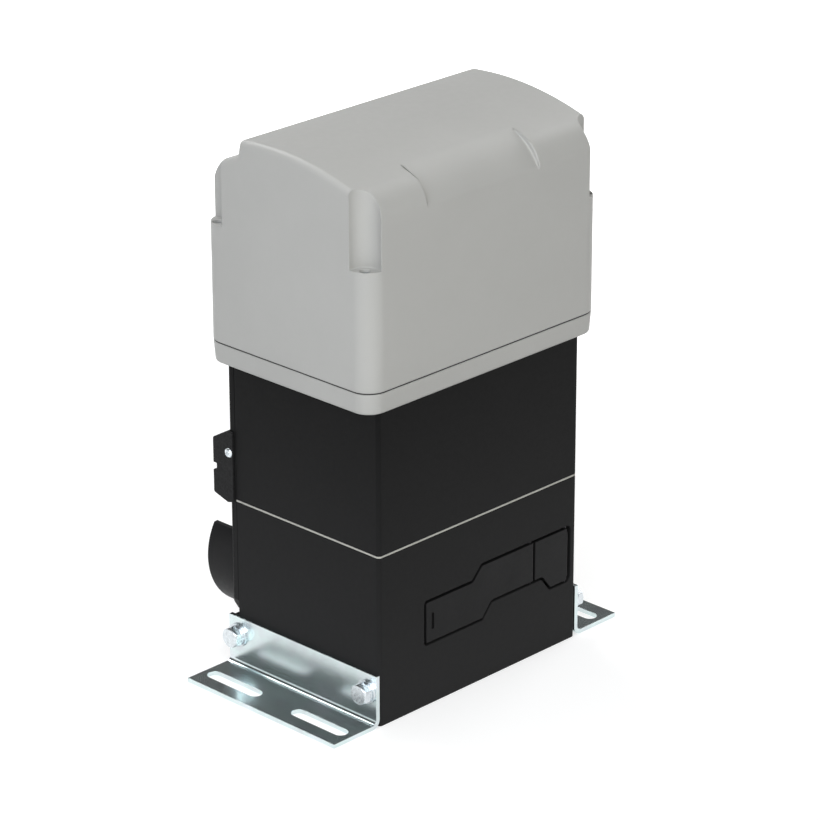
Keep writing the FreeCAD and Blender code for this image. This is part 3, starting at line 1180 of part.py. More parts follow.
def cover_block(inset, low):
    """The cover's outer form, or with an inset the form of the room inside its wall."""
    half_x = COVER_X / 2 - inset
    corners = inset_corners(cover_corners(low - inset), inset)
    slab = prism(corners, side(-half_x), (2 * half_x, 0, 0))
    rims = [edge for edge in slab.Edges
            if abs(abs(edge.CenterOfMass.x) - half_x) < 0.01 and edge.CenterOfMass.z > low + 1]
    slab = slab.makeFillet(SIDE_EDGE_R - inset, rims)
    return slab.common(prism(plan_corners(inset), flat(low), (0, 0, FAR)))


def scoop(depth):
    """Shallow recess across the front rounding: all that stands outside a large cylinder along X."""
    low = Vector(0, -COVER_Y / 2, SCOOP_LOW)
    high = Vector(0, SCOOP_BACK_Y, crown_line(SCOOP_BACK_Y)[0])
    chord = high - low
    across = Vector(0, chord.z, -chord.y).normalize()
    half = chord.Length / 2
    centre = (low + high) * 0.5 + across * math.sqrt(SCOOP_R ** 2 - half ** 2)
    region = box(SCOOP_X[0] - depth, SCOOP_X[1] + depth, -COVER_Y, SCOOP_BACK_Y, SCOOP_LOW, CROWN_TOP + 20)
    keep = rod(SCOOP_R - depth, (SCOOP_X[0] - depth - 1, centre.y, centre.z),
               (SCOOP_X[1] + depth + 1, centre.y, centre.z))
    return region.cut(keep)


def cover():
    outer = cover_block(0, COVER_LOW)
    room = cover_block(COVER_WALL, COVER_LOW - 1)
    wells = []
    cuts = []
    for centre, radius, spot in flutes():
        inner_low = FLUTE_LEDGE - COVER_SCREW_WELL - COVER_WALL
        wells.append(rod(radius + COVER_WALL, (centre.x, centre.y, inner_low), (centre.x, centre.y, FAR)))
        wells.append(rod(COVER_PILLAR_R, (spot.x, spot.y, COVER_LOW - 2), (spot.x, spot.y, FLUTE_LEDGE)))
        cuts.append(rod(radius, (centre.x, centre.y, FLUTE_LEDGE), (centre.x, centre.y, FAR)))
        cuts.append(rod(COVER_SCREW_R + COVER_SCREW_PLAY, (spot.x, spot.y, COVER_LOW - 2), (spot.x, spot.y, FLUTE_LEDGE)))
        cuts.append(rod(COVER_SCREW_HEAD_R + COVER_SCREW_PLAY, (spot.x, spot.y, FLUTE_LEDGE - COVER_SCREW_WELL),
                        (spot.x, spot.y, FLUTE_LEDGE + 1)))
    room = room.cut(wells)
    room = room.cut(scoop(COVER_WALL))
    return outer.cut([room, scoop(0)]).cut(cuts)


def cover_screws():
    screws = []
    head_low = FLUTE_LEDGE - COVER_SCREW_WELL
    for centre, radius, spot in flutes():
        head = rod(COVER_SCREW_HEAD_R, (spot.x, spot.y, head_low), (spot.x, spot.y, head_low + COVER_SCREW_HEAD_T))
        stem = rod(COVER_SCREW_R, (spot.x, spot.y, BASE_LOW + 3), (spot.x, spot.y, head_low))
        top = head_low + COVER_SCREW_HEAD_T
        key = hexagon(4.0, (spot.x, spot.y, top - 2.5), (spot.x, spot.y, top + 1))
        screws.append(fuse([head, stem]).cut(key))
    return screws


# Board and the parts beside it

def board_bracket():
    plate_y = BOARD_Y + STANDOFF_LENGTH
    half = BOARD_X / 2
    top = BOARD_LOW + BOARD_HEIGHT + BRACKET_TOP_MARGIN
    upright = box(-half, half, plate_y, plate_y + BRACKET_PLATE_T, TRAY_Z, top)
    foot = box(-half, half, plate_y, plate_y + BRACKET_FOOT, TRAY_Z, TRAY_Z + BRACKET_PLATE_T)
    return fuse([upright, foot])


def control_board():
    half = BOARD_X / 2
    return box(-half, half, BOARD_Y - BOARD_T, BOARD_Y, BOARD_LOW, BOARD_LOW + BOARD_HEIGHT)


def board_standoffs():
    x = BOARD_X / 2 - STANDOFF_INSET
    return [rod(STANDOFF_R, (sign * x, BOARD_Y, z), (sign * x, BOARD_Y + STANDOFF_LENGTH, z))
            for sign in (-1, 1) for z in (BOARD_LOW + STANDOFF_INSET, BOARD_LOW + BOARD_HEIGHT - STANDOFF_INSET)]


def board_row(size, count, low):
    """A row of equal blocks on the front of the board."""
    width, depth, height = size
    pitch = BOARD_X / count
    face = BOARD_Y - BOARD_T
    blocks = []
    for k in range(count):
        middle = -BOARD_X / 2 + pitch * (k + 0.5)
        blocks.append(box(middle - width / 2, middle + width / 2, face - depth, face, low, low + height))
    return blocks


def terminal_blocks():
    return board_row(TERMINAL_SIZE, TERMINAL_COUNT, BOARD_LOW + 4)


def relays():
    return board_row(RELAY_SIZE, RELAY_COUNT, BOARD_LOW + BOARD_HEIGHT / 2)


def transformer_core():
    width, depth, height = TRANSFORMER_CORE
    coil_width, coil_depth, coil_height = TRANSFORMER_COIL
    core = box(TRANSFORMER_X - width / 2, TRANSFORMER_X + width / 2, TRANSFORMER_Y - depth / 2,
               TRANSFORMER_Y + depth / 2, TRAY_Z, TRAY_Z + height)
    middle = TRAY_Z + height / 2
    window = box(TRANSFORMER_X - coil_width / 2, TRANSFORMER_X + coil_width / 2, TRANSFORMER_Y - depth,
                 TRANSFORMER_Y + depth, middle - coil_height / 2, middle + coil_height / 2)
    return core.cut(window)


def transformer_coil():
    depth, height = TRANSFORMER_COIL[1], TRANSFORMER_CORE[2]
    width, coil_height = TRANSFORMER_COIL[0], TRANSFORMER_COIL[2]
    middle = TRAY_Z + height / 2
    corners = rectangle(TRANSFORMER_X - width / 2, TRANSFORMER_X + width / 2, TRANSFORMER_Y - depth / 2,
                        TRANSFORMER_Y + depth / 2, 4)
    return prism(corners, flat(middle - coil_height / 2), (0, 0, coil_height))


def motor_capacitor():
    body = rod(CAPACITOR_R, (CAPACITOR_X, CAPACITOR_Y, TRAY_Z), (CAPACITOR_X, CAPACITOR_Y, TRAY_Z + CAPACITOR_HEIGHT))
    top = TRAY_Z + CAPACITOR_HEIGHT
    tabs = [box(CAPACITOR_X + dx - 0.4, CAPACITOR_X + dx + 0.4, CAPACITOR_Y - 3, CAPACITOR_Y + 3, top, top + 8)
            for dx in (-7, 7)]
    return fuse([body] + tabs)


def cable_grommet():
    """Rubber ring in the cable hole of the cover base."""
    hole = DUCT_R + 1
    outline = [(hole - GROMMET_LIP, 0), (hole - SEAT, 0), (hole - SEAT, BASE_FLOOR), (hole + GROMMET_LIP, BASE_FLOOR),
               (hole + GROMMET_LIP, BASE_FLOOR + GROMMET_T), (hole - GROMMET_LIP, BASE_FLOOR + GROMMET_T)]
    return turned(outline, (DUCT_X, DUCT_Y, BASE_LOW), (0, 0, 1))


def all_nodes():
    left = bracket()
    return {
        "gearbox_housing": gearbox_housing(), "housing_gasket": housing_gasket(), "motor_housing": motor_housing(),
        "housing_screws": housing_screws(), "back_plate": back_plate(), "back_plate_screws": back_plate_screws(),
        "pinion_guard": pinion_guard(), "guard_screws": guard_screws(), "sensor_housing": sensor_housing(),
        "sensor_element": sensor_element(), "sensor_screw": sensor_screws(), "bracket_left": left,
        "bracket_right": mirrored(left), "bracket_bolts": bracket_bolts(),
        "bracket_spring_washers": bracket_spring_washers(), "bracket_flat_washers": bracket_flat_washers(),
        "output_bearings": output_bearings(), "shaft_seal": shaft_seal(), "worm_bearings": worm_bearings(),
        "stator_core": stator_core(), "stator_windings": stator_windings(), "motor_end_shield": motor_end_shield(),
        "motor_bearing": motor_bearing(), "oil_plugs": oil_plugs(), "output_shaft": output_shaft(),
        "wheel_hub": wheel_hub(), "worm_wheel": worm_wheel(), "drive_keys": drive_keys(),
        "drive_pinion": drive_pinion(), "pinion_key": pinion_key(), "pinion_washer": pinion_washer(),
        "pinion_screw": pinion_screw(), "worm_shaft": worm_shaft(), "clutch_plates": clutch_plates(),
        "clutch_discs": clutch_discs(), "clutch_spring": clutch_spring(), "clutch_nut": clutch_nut(),
        "clutch_drum": clutch_drum(), "motor_shaft": motor_shaft(), "rotor_core": rotor_core(),
        "release_lever": release_lever(), "lever_pin": lever_pin(), "lock_cover": lock_cover(),
        "lock_cover_pin": lock_cover_pin(), "lock_barrel": lock_barrel(), "release_plunger": release_plunger(),
        "cover_base": cover_base(), "cover_base_screws": cover_base_screws(), "cover_seal": cover_seal(),
        "cover": cover(), "cover_screws": cover_screws(), "board_bracket": board_bracket(),
        "control_board": control_board(), "board_standoffs": board_standoffs(), "terminal_blocks": terminal_blocks(),
        "relays": relays(), "transformer_core": transformer_core(), "transformer_coil": transformer_coil(),
        "motor_capacitor": motor_capacitor(), "cable_grommet": cable_grommet(),
    }


def main():
    os.makedirs("parts", exist_ok=True)
    for name, shape in all_nodes().items():
        if isinstance(shape, list):
            shape = Part.Compound(shape)
        shape.exportStep(f"parts/{name}.step")
        print(f"{name}: {len(shape.Solids)} solids, {shape.Volume:.0f} mm3, valid {shape.isValid()}")


main()
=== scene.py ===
import json
import math

import bmesh
import bpy
from bpy.props import FloatProperty, FloatVectorProperty, IntProperty, PointerProperty
from mathutils import Matrix, Vector

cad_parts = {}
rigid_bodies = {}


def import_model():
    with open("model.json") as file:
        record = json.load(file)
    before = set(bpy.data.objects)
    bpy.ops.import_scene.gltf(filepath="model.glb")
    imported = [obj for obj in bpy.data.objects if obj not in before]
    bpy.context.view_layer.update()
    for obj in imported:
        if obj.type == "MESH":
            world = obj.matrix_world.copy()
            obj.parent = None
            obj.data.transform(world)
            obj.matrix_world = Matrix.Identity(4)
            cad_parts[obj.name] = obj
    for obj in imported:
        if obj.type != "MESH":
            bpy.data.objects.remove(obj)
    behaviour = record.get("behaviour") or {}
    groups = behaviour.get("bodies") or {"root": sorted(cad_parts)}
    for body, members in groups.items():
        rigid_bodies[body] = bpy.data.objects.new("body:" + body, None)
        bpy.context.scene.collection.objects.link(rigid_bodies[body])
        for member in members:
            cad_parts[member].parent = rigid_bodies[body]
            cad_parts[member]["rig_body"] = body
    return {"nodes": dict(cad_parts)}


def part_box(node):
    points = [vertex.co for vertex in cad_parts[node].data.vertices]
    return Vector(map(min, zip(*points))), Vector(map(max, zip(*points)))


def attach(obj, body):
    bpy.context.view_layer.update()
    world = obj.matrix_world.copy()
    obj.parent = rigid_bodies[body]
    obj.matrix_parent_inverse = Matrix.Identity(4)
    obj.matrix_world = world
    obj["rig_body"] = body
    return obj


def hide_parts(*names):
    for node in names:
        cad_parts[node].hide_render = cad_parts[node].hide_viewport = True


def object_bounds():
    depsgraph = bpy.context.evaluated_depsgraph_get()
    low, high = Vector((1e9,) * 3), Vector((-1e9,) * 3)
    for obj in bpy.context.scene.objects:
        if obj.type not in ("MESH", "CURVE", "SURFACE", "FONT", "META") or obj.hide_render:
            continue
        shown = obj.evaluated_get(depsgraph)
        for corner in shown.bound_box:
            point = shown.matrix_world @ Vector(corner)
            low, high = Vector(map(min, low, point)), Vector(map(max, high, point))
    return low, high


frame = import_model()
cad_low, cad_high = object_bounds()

bl_info = {
    "name": "Sliding gate motor",
    "version": (1, 0, 0),
    "blender": (4, 5, 0),
    "location": "View3D > Sidebar > Gate motor",
    "description": "Finishes, moulded edges and fine pieces of a sliding gate motor, set round its frame",
    "category": "Object",
}

MM = 0.001

# Meshes
MERGE_DISTANCE = 1e-6
FLAT_ANGLE = math.radians(0.4)
SHARP_ANGLE = math.radians(33.0)
EDGE_SEGMENTS = 3
LARGE_FACES_RULE = 100              # weighted normals: at 50 small faces count as much as large ones
GUARD_ARC_STEPS = 48
FACING_FRONT = (math.pi / 2, 0.0, 0.0)
WINDING_CORNER = 4 * MM
WINDING_CORNER_STEPS = 5
WIRE_SIDES = 8
TERMINAL_SCREW_HEIGHT = 10.2 * MM
TERMINAL_SCREW_OUT = 0.1 * MM
WIRE_MOUTH_HEIGHT = 4.0 * MM

# Finishes
MIDDLE_NOISE = (0.3, 0.7)           # most values of a noise texture lie between these
# Patch size of the cloudiness in the painted shade that darkens the castings towards their top
WAVE_LENGTH = math.pi / 10          # a wave texture of scale 1 repeats after this many metres
TURNING_PITCH = 0.25 * MM
TURNING_WANDER = 1.5
SHADE_CLOUD = 40 * MM
RIM_SAMPLES = 6


# Settings

def length(name, description, millimetres):
    return FloatProperty(name=name, description=description, default=millimetres * MM, min=0.0, unit="LENGTH")


def colour(name, description, default):
    return FloatVectorProperty(name=name, description=description, default=default, subtype="COLOR",
                               size=3, min=0.0, max=1.0)


def angle(name, description, degrees):
    return FloatProperty(name=name, description=description, default=math.radians(degrees), subtype="ANGLE")


def share(name, description, default):
    return FloatProperty(name=name, description=description, default=default, min=0.0, max=1.0,
                         subtype="FACTOR")


class GateMotorCoverSettings(bpy.types.PropertyGroup):
    """The moulded cover and the ring that it stands on."""
    shade: colour("Cover grey", "Colour of the moulded cover and its base", (0.412, 0.412, 0.398))
    roughness: share("Roughness", "Roughness of the satin moulding", 0.46)
    edge: length("Edge radius", "Rounding of the cover's moulded edges", 1.4)
    rim: length("Rim radius", "Rounding of the edges at the joint line", 0.5)
    flute: length("Flute radius", "Rounding of the edges in the corner flutes", 0.3)
    flute_start: length("Flute start", "Distance from the middle, sideways, where the flutes begin", 100.0)
    soft: length("Soft rim", "Width over which the moulding's rims catch the light", 1.6)
    merge: length("Merge", "Shortest edge kept before rounding", 0.2)
    grain: length("Grain depth", "Depth of the fine spark-eroded texture", 0.02)


class GateMotorCastingSettings(bpy.types.PropertyGroup):
    """The two castings and the back plate."""
    shade: colour("Coating black", "Colour of the powder coat near the ground", (0.0225, 0.0225, 0.023))
    # Painted shade: the coat's colour is painted darker towards the top of the castings, where they catch less
    # light
    clean: share("Clean share", "How much darker the coat is high up, where no dust settles", 0.22)
    roughness: share("Roughness", "Roughness of the powder coat", 0.48)
    gloss: share("Gloss", "Specular level of the powder coat", 0.06)
    edge: length("Edge radius", "Rounding of the castings' edges", 0.7)
    grain: length("Grain depth", "Depth of the coat's orange peel", 0.03)


class GateMotorMetalSettings(bpy.types.PropertyGroup):
    """Zinc plated brackets and fixings, and the bright steel inside."""
    zinc: colour("Zinc", "Colour of the bright zinc plating", (0.70, 0.745, 0.775))
    zinc_tint: colour("Zinc tint", "Greener colour in places on the brackets' plating", (0.70, 0.80, 0.80))
    steel: colour("Steel", "Colour of ground steel", (0.52, 0.52, 0.53))
    bronze: colour("Bronze", "Colour of the worm wheel's rim", (0.62, 0.40, 0.19))
    zinc_roughness: share("Zinc roughness", "Roughness of the plating", 0.23)
    bracket_edge: length("Bracket edge", "Rounding of the sheared bracket edges", 0.35)
    fixing_edge: length("Fixing edge", "Rounding of bolts, screws and washers", 0.25)


class GateMotorPlasticSettings(bpy.types.PropertyGroup):
    """Black mouldings: release lever, lock cover, sensor housing and pinion guard."""
    shade: colour("Moulding black", "Colour of the black mouldings", (0.0125, 0.0125, 0.013))
    roughness: share("Roughness", "Roughness of the black mouldings", 0.44)
    gloss: share("Gloss", "Specular level of the black mouldings", 0.10)
    edge: length("Edge radius", "Rounding of the mouldings' edges", 0.6)
    guard_wall: length("Guard wall", "Thickness of the guard round the drive pinion", 3.2)
    screw: length("Sensor screw", "Radius of the sensor screw's cross head", 4.3)


class GateMotorBoardSettings(bpy.types.PropertyGroup):
    """Fine parts on the control board and the transformer's winding, under the cover."""
    ways: IntProperty(name="Terminal ways", description="Screw terminals in each block", default=8, min=1)
    blocks: IntProperty(name="Terminal blocks", description="Blocks along the board", default=3, min=1)
    block_width: length("Block width", "Length of one terminal block", 48.0)
    screw: length("Terminal screw", "Radius of a terminal's screw", 1.9)
    mouth: length("Wire mouth", "Width of the opening that takes a wire", 3.4)
    buttons: IntProperty(name="Buttons", description="Push buttons in the row", default=4, min=1)
    wire: length("Winding wire", "Radius of the transformer's winding wire", 0.55)
    seed: IntProperty(name="Seed", description="Choice of places for the small board parts", default=7)


class GateMotorStageSettings(bpy.types.PropertyGroup):
    """Camera, light and floor."""
    azimuth: angle("Azimuth", "Camera's turn about the vertical", -45.711)
    elevation: angle("Elevation", "Camera's height above the horizon", 22.383)
    roll: angle("Roll", "Camera's turn about its own line of sight", -0.157)
    distance: length("Distance", "Camera's distance from the point it looks at", 3123.9)
    lens: FloatProperty(name="Lens", description="Focal length on a 36 mm sensor", default=163.16)
    aim: FloatVectorProperty(name="Aim", description="Point that the camera looks at", size=3, subtype="XYZ",
                             unit="LENGTH", default=(6.75 * MM, 0.0, 220.6 * MM))
    ambient: share("Ambient", "Strength of the even light from all round", 0.15)
    ceiling: share("Ceiling", "Brightness of the room above, as metal and gloss mirror it", 0.07)
    floor_tone: share("Floor tone", "Colour of the pale floor", 0.62)
    floor_glow: share("Floor glow", "White that the camera sees on the floor beside its lit colour", 0.5)
    floor_near: length("Floor near", "Distance from the middle up to which the floor's glow stays the same",
                       500.0)
    floor_far: length("Floor far", "Distance from which the floor is white whatever light falls on it",
                      1300.0)


# Shader helpers

def map_range(nodes, links, source, from_limits, to_limits):
    """A node that carries a value over from one range to another."""
    node = nodes.new("ShaderNodeMapRange")
    for name, value in zip(("From Min", "From Max", "To Min", "To Max"), (*from_limits, *to_limits)):
        node.inputs[name].default_value = value
    links.new(source, node.inputs["Value"])
    return node


def arithmetic(nodes, links, operation, *values):
    """The outcome of one operation on numbers or other nodes' outputs."""
    node = nodes.new("ShaderNodeMath")
    node.operation = operation
    for socket, value in zip(node.inputs, values):
        if isinstance(value, bpy.types.NodeSocket):
            links.new(value, socket)
        else:
            socket.default_value = value
    return node.outputs["Value"]


class Shader:
    """One procedural material and the nodes that it is wired from."""

    def __init__(self, name, base, roughness, metallic=0.0):
        self.material = bpy.data.materials.new(name)
        self.material.use_nodes = True
        self.nodes = self.material.node_tree.nodes
        self.links = self.material.node_tree.links
        self.principled = self.nodes["Principled BSDF"]
        self.set("Base Color", (*base, 1.0))
        self.set("Roughness", roughness)
        self.set("Metallic", metallic)
        self.base = base
        self.roughness = roughness
        self.material.diffuse_color = (*base, 1.0)
        self.surface_normal = None

    def set(self, socket, value):
        self.principled.inputs[socket].default_value = value

    def join(self, source, socket):
        self.links.new(source, self.principled.inputs[socket])

    def coordinates(self, stretch=(1.0, 1.0, 1.0), centre=None):
        """Object coordinates, stretched, or taken from a centre."""
        place = self.nodes.new("ShaderNodeTexCoord")
        mapping = self.nodes.new("ShaderNodeMapping")
        mapping.inputs["Scale"].default_value = stretch
        if centre is not None:
            mapping.vector_type = "TEXTURE"
            mapping.inputs["Location"].default_value = centre
        self.links.new(place.outputs["Object"], mapping.inputs["Vector"])
        return mapping.outputs["Vector"]

    def noise(self, feature, detail=3.0, stretch=(1.0, 1.0, 1.0)):
        """Noise whose features are about a length across."""
        texture = self.nodes.new("ShaderNodeTexNoise")
        texture.inputs["Scale"].default_value = 1.0 / feature
        texture.inputs["Detail"].default_value = detail
        self.links.new(self.coordinates(stretch), texture.inputs["Vector"])
        return texture.outputs["Fac"]

    def cells(self, feature):
        """Cells that are about a length across."""
        texture = self.nodes.new("ShaderNodeTexVoronoi")
        texture.inputs["Scale"].default_value = 1.0 / feature
        self.links.new(self.coordinates(), texture.inputs["Vector"])
        return texture.outputs["Distance"]

    def waves(self, kind, pitch, centre=None):
        """Waves a pitch apart, in bands or rings."""
        texture = self.nodes.new("ShaderNodeTexWave")
        texture.wave_type = kind
        texture.inputs["Scale"].default_value = WAVE_LENGTH / pitch
        self.links.new(self.coordinates(centre=centre), texture.inputs["Vector"])
        return texture

    def bands(self, pitch, direction):
        """Even bands along X, Y or Z."""
        texture = self.waves("BANDS", pitch)
        texture.bands_direction = direction
        return texture.outputs["Fac"]

    def rings(self, pitch, direction, centre):
        """Turning marks round an axis through a centre."""
        texture = self.waves("RINGS", pitch, centre)
        texture.rings_direction = direction
        texture.inputs["Distortion"].default_value = TURNING_WANDER
        return texture.outputs["Fac"]

    def dust(self, top, cloud):
        """1 at the ground and 0 at the top, a little cloudy."""
        parts = self.nodes.new("ShaderNodeSeparateXYZ")
        self.links.new(self.coordinates(), parts.inputs["Vector"])
        run = map_range(self.nodes, self.links, parts.outputs["Z"], (0.0, top), (1.0, 0.0))
        clouds = self.noise(SHADE_CLOUD, 4.0)
        return arithmetic(self.nodes, self.links, "MULTIPLY_ADD", clouds, cloud, run.outputs["Result"])

    def tones(self, source, low, high, start=MIDDLE_NOISE[0], end=MIDDLE_NOISE[1]):
        """A colour between two shades of the base, by a texture."""
        ramp = self.nodes.new("ShaderNodeValToRGB")
        ramp.color_ramp.elements[0].position = start
        ramp.color_ramp.elements[1].position = end
        ramp.color_ramp.elements[0].color = (*[c * low for c in self.base], 1.0)
        ramp.color_ramp.elements[1].color = (*[min(c * high, 1.0) for c in self.base], 1.0)
        self.links.new(source, ramp.inputs["Fac"])
        self.join(ramp.outputs["Color"], "Base Color")
        return ramp

    def vary(self, source, below, above, limits=MIDDLE_NOISE):
        """A roughness that runs from below the finish's own to above it, by a texture."""
        low, high = self.roughness - below, self.roughness + above
        spread = map_range(self.nodes, self.links, source, limits, (low, high))
        self.join(spread.outputs["Result"], "Roughness")

    def soft_rims(self, radius):
        """Lets the light run softly over the edges, as it does on a moulding."""
        rounded = self.nodes.new("ShaderNodeBevel")
        rounded.samples = RIM_SAMPLES
        rounded.inputs["Radius"].default_value = radius
        self.surface_normal = rounded.outputs["Normal"]
        self.join(self.surface_normal, "Normal")

    def relief(self, source, depth):
        """Adds a layer of bump of a real depth."""
        bump = self.nodes.new("ShaderNodeBump")
        bump.inputs["Distance"].default_value = depth
        bump.inputs["Strength"].default_value = 1.0
        self.links.new(source, bump.inputs["Height"])
        if self.surface_normal is not None:
            self.links.new(self.surface_normal, bump.inputs["Normal"])
        self.surface_normal = bump.outputs["Normal"]
        self.join(self.surface_normal, "Normal")

    def mottle(self, feature, low, high, detail=3.0):
        """Patches of lighter and darker base, about a length across."""
        return self.tones(self.noise(feature, detail), low, high)

    def grain(self, feature, depth, detail=3.0):
        """Fine bumps, about a length across."""
        self.relief(self.noise(feature, detail), depth)


# Finishes

PLAIN_FINISHES = {
    # colour, roughness, metal, (length of patches in mm, darkest, lightest, detail),
    # (length of grain in mm, its depth in mm, detail)
    "pressed_gasket": ((0.50, 0.495, 0.455), 0.8, 0.0, (1.2, 0.85, 1.08, 5.0), (0.4, 0.04, 3.0)),
    "seal_rubber": ((0.02, 0.02, 0.02), 0.7, 0.0, (5.0, 0.8, 1.4, 4.0), (0.6, 0.02, 3.0)),
    "galvanised_sheet": ((0.40, 0.43, 0.45), 0.42, 1.0, (9.0, 0.82, 1.15, 3.0), (0.7, 0.003, 3.0)),
    "blackened_steel": ((0.035, 0.035, 0.038), 0.4, 0.8, (3.0, 0.85, 1.15, 3.0), (0.4, 0.004, 3.0)),
    "machined_iron": ((0.17, 0.17, 0.175), 0.45, 0.9, (7.0, 0.8, 1.2, 5.0), (1.2, 0.03, 4.0)),
    "clutch_lining": ((0.12, 0.10, 0.08), 0.85, 0.0, (1.0, 0.6, 1.5, 5.0), (0.7, 0.05, 3.0)),
    "terminal_green": ((0.04, 0.27, 0.11), 0.4, 0.0, (9.0, 0.9, 1.1, 3.0), (0.6, 0.01, 3.0)),
    "capacitor_can": ((0.60, 0.60, 0.57), 0.42, 0.0, (20.0, 0.94, 1.04, 3.0), (0.8, 0.015, 3.0)),
}


def plain(name):
    """A finish of mottled colour and fine grain, made once and shared."""
    if name in bpy.data.materials:
        return bpy.data.materials[name]
    base, roughness, metallic, (patch, *shades), (bump, depth, detail) = PLAIN_FINISHES[name]
    shader = Shader(name, base, roughness, metallic)
    shader.mottle(patch * MM, *shades)
    shader.grain(bump * MM, depth * MM, detail)
    return shader.material


def kept(build):
    """Each finish is made once and shared."""
    def finish():
        return bpy.data.materials.get(build.__name__) or build()
    return finish


@kept
def moulded_grey():
    settings = bpy.context.scene.gate_motor_cover
    shader = Shader("moulded_grey", settings.shade, settings.roughness)
    shader.mottle(90 * MM, low=0.975, high=1.02, detail=4.0)
    shader.vary(shader.noise(6 * MM), below=0.04, above=0.05)
    shader.soft_rims(settings.soft)
    shader.grain(0.7 * MM, settings.grain, detail=2.0)
    return shader.material


@kept
def powder_coat():
    settings = bpy.context.scene.gate_motor_casting
    shader = Shader("powder_coat", settings.shade, settings.roughness)
    shader.set("Specular IOR Level", settings.gloss)
    # Painted shade: the coat's colour runs darker from the ground up to the top of the motor case
    painted_shade_ramp = shader.dust(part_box("motor_housing")[1].z, cloud=0.07)
    shader.tones(painted_shade_ramp, settings.clean, 1.0, start=0.0, end=1.0)
    shader.vary(shader.noise(4 * MM), below=0.05, above=0.06)
    shader.grain(1.6 * MM, settings.grain, detail=2.0)
    shader.grain(0.4 * MM, settings.grain * 0.3, detail=1.0)
    return shader.material


@kept
def black_moulding():
    settings = bpy.context.scene.gate_motor_plastic
    shader = Shader("black_moulding", settings.shade, settings.roughness)
    shader.set("Specular IOR Level", settings.gloss)
    shader.mottle(30 * MM, low=0.9, high=1.12)
    shader.vary(shader.noise(3 * MM), below=0.04, above=0.06)
    shader.grain(0.5 * MM, 0.015 * MM, detail=2.0)
    return shader.material


@kept
def textured_moulding():
    settings = bpy.context.scene.gate_motor_plastic
    shader = Shader("textured_moulding", settings.shade, settings.roughness + 0.1)
    shader.set("Specular IOR Level", settings.gloss)
    shader.mottle(2.0 * MM, low=0.75, high=1.5)
    shader.relief(shader.cells(1.1 * MM), 0.12 * MM)
    return shader.material


@kept
def bright_zinc():
    settings = bpy.context.scene.gate_motor_metal
    shader = Shader("bright_zinc", settings.zinc, settings.zinc_roughness, metallic=1.0)
    ramp = shader.mottle(28 * MM, low=0.93, high=1.1, detail=4.0)
    ramp.color_ramp.elements.new(0.5).color = (*settings.zinc_tint, 1.0)
    rolled = shader.noise(0.5 * MM, 3.0, stretch=(1.0, 0.04, 1.0))
    shader.vary(rolled, below=0.02, above=0.04)
    shader.grain(12 * MM, 0.02 * MM, detail=2.0)
    shader.relief(rolled, 0.0012 * MM)
    return shader.material


@kept
def zinc_fixings():
    settings = bpy.context.scene.gate_motor_metal
    shader = Shader("zinc_fixings", settings.zinc, settings.zinc_roughness, metallic=1.0)
    shader.mottle(3 * MM, low=0.9, high=1.12, detail=4.0)
    shader.vary(shader.noise(1.0 * MM), below=0.04, above=0.12)
    shader.grain(0.8 * MM, 0.01 * MM)
    return shader.material


@kept
def ground_steel():
    shader = Shader("ground_steel", bpy.context.scene.gate_motor_metal.steel, roughness=0.3, metallic=1.0)
    shader.mottle(8 * MM, low=0.9, high=1.1, detail=4.0)
    shader.vary(shader.noise(0.5 * MM, 2.0), below=0.06, above=0.08)
    shader.grain(0.4 * MM, 0.004 * MM)
    return shader.material


def turned_metal(name, base, centre):
    """Metal with turning marks round an axis along Y."""
    shader = Shader(name, base, roughness=0.3, metallic=1.0)
    shader.mottle(12 * MM, low=0.85, high=1.12, detail=4.0)
    marks = shader.rings(TURNING_PITCH, "Y", centre)
    shader.vary(marks, below=0.06, above=0.08, limits=(0.0, 1.0))
    shader.relief(marks, 0.006 * MM)
    return shader.material


@kept
def stacked_sheets():
    shader = Shader("stacked_sheets", (0.30, 0.30, 0.31), roughness=0.45, metallic=0.9)
    sheets = shader.bands(1.0 * MM, "Z")
    shader.tones(sheets, 0.55, 1.1)
    shader.relief(sheets, 0.12 * MM)
    return shader.material


@kept
def varnished_copper():
    shader = Shader("varnished_copper", (0.52, 0.20, 0.085), roughness=0.32, metallic=0.9)
    shader.mottle(4 * MM, low=0.75, high=1.15, detail=4.0)
    shader.set("Coat Weight", 0.5)
    shader.set("Coat Roughness", 0.15)
    return shader.material


@kept
def board_lacquer():
    shader = Shader("board_lacquer", (0.02, 0.13, 0.055), roughness=0.28)
    tracks = shader.cells(7 * MM)
    shader.tones(tracks, 0.75, 1.35, start=0.35, end=0.4)
    shader.relief(tracks, 0.03 * MM)
    return shader.material


# Pieces

def dress(material, *names):
    """Gives frame nodes their finish."""
    for name in names:
        frame["nodes"][name].material_slots[0].material = material


def placed(name, data):
    """A new object in the scene."""
    thing = bpy.data.objects.new(name, data)
    bpy.context.scene.collection.objects.link(thing)
    return thing


def piece_on(body, name, mesh):
    """A new piece that rides on a body of the frame."""
    piece = placed(name, mesh)
    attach(piece, body)
    return piece


def evaluated_mesh(thing):
    """What an object's modifiers make of it, as a plain mesh."""
    return bpy.data.meshes.new_from_object(thing.evaluated_get(bpy.context.evaluated_depsgraph_get()))


def merged(mesh, distance=MERGE_DISTANCE):
    """A form whose faces are joined where their corners meet."""
    form = bmesh.new()
    form.from_mesh(mesh)
    bmesh.ops.remove_doubles(form, verts=form.verts, dist=distance)
    return form


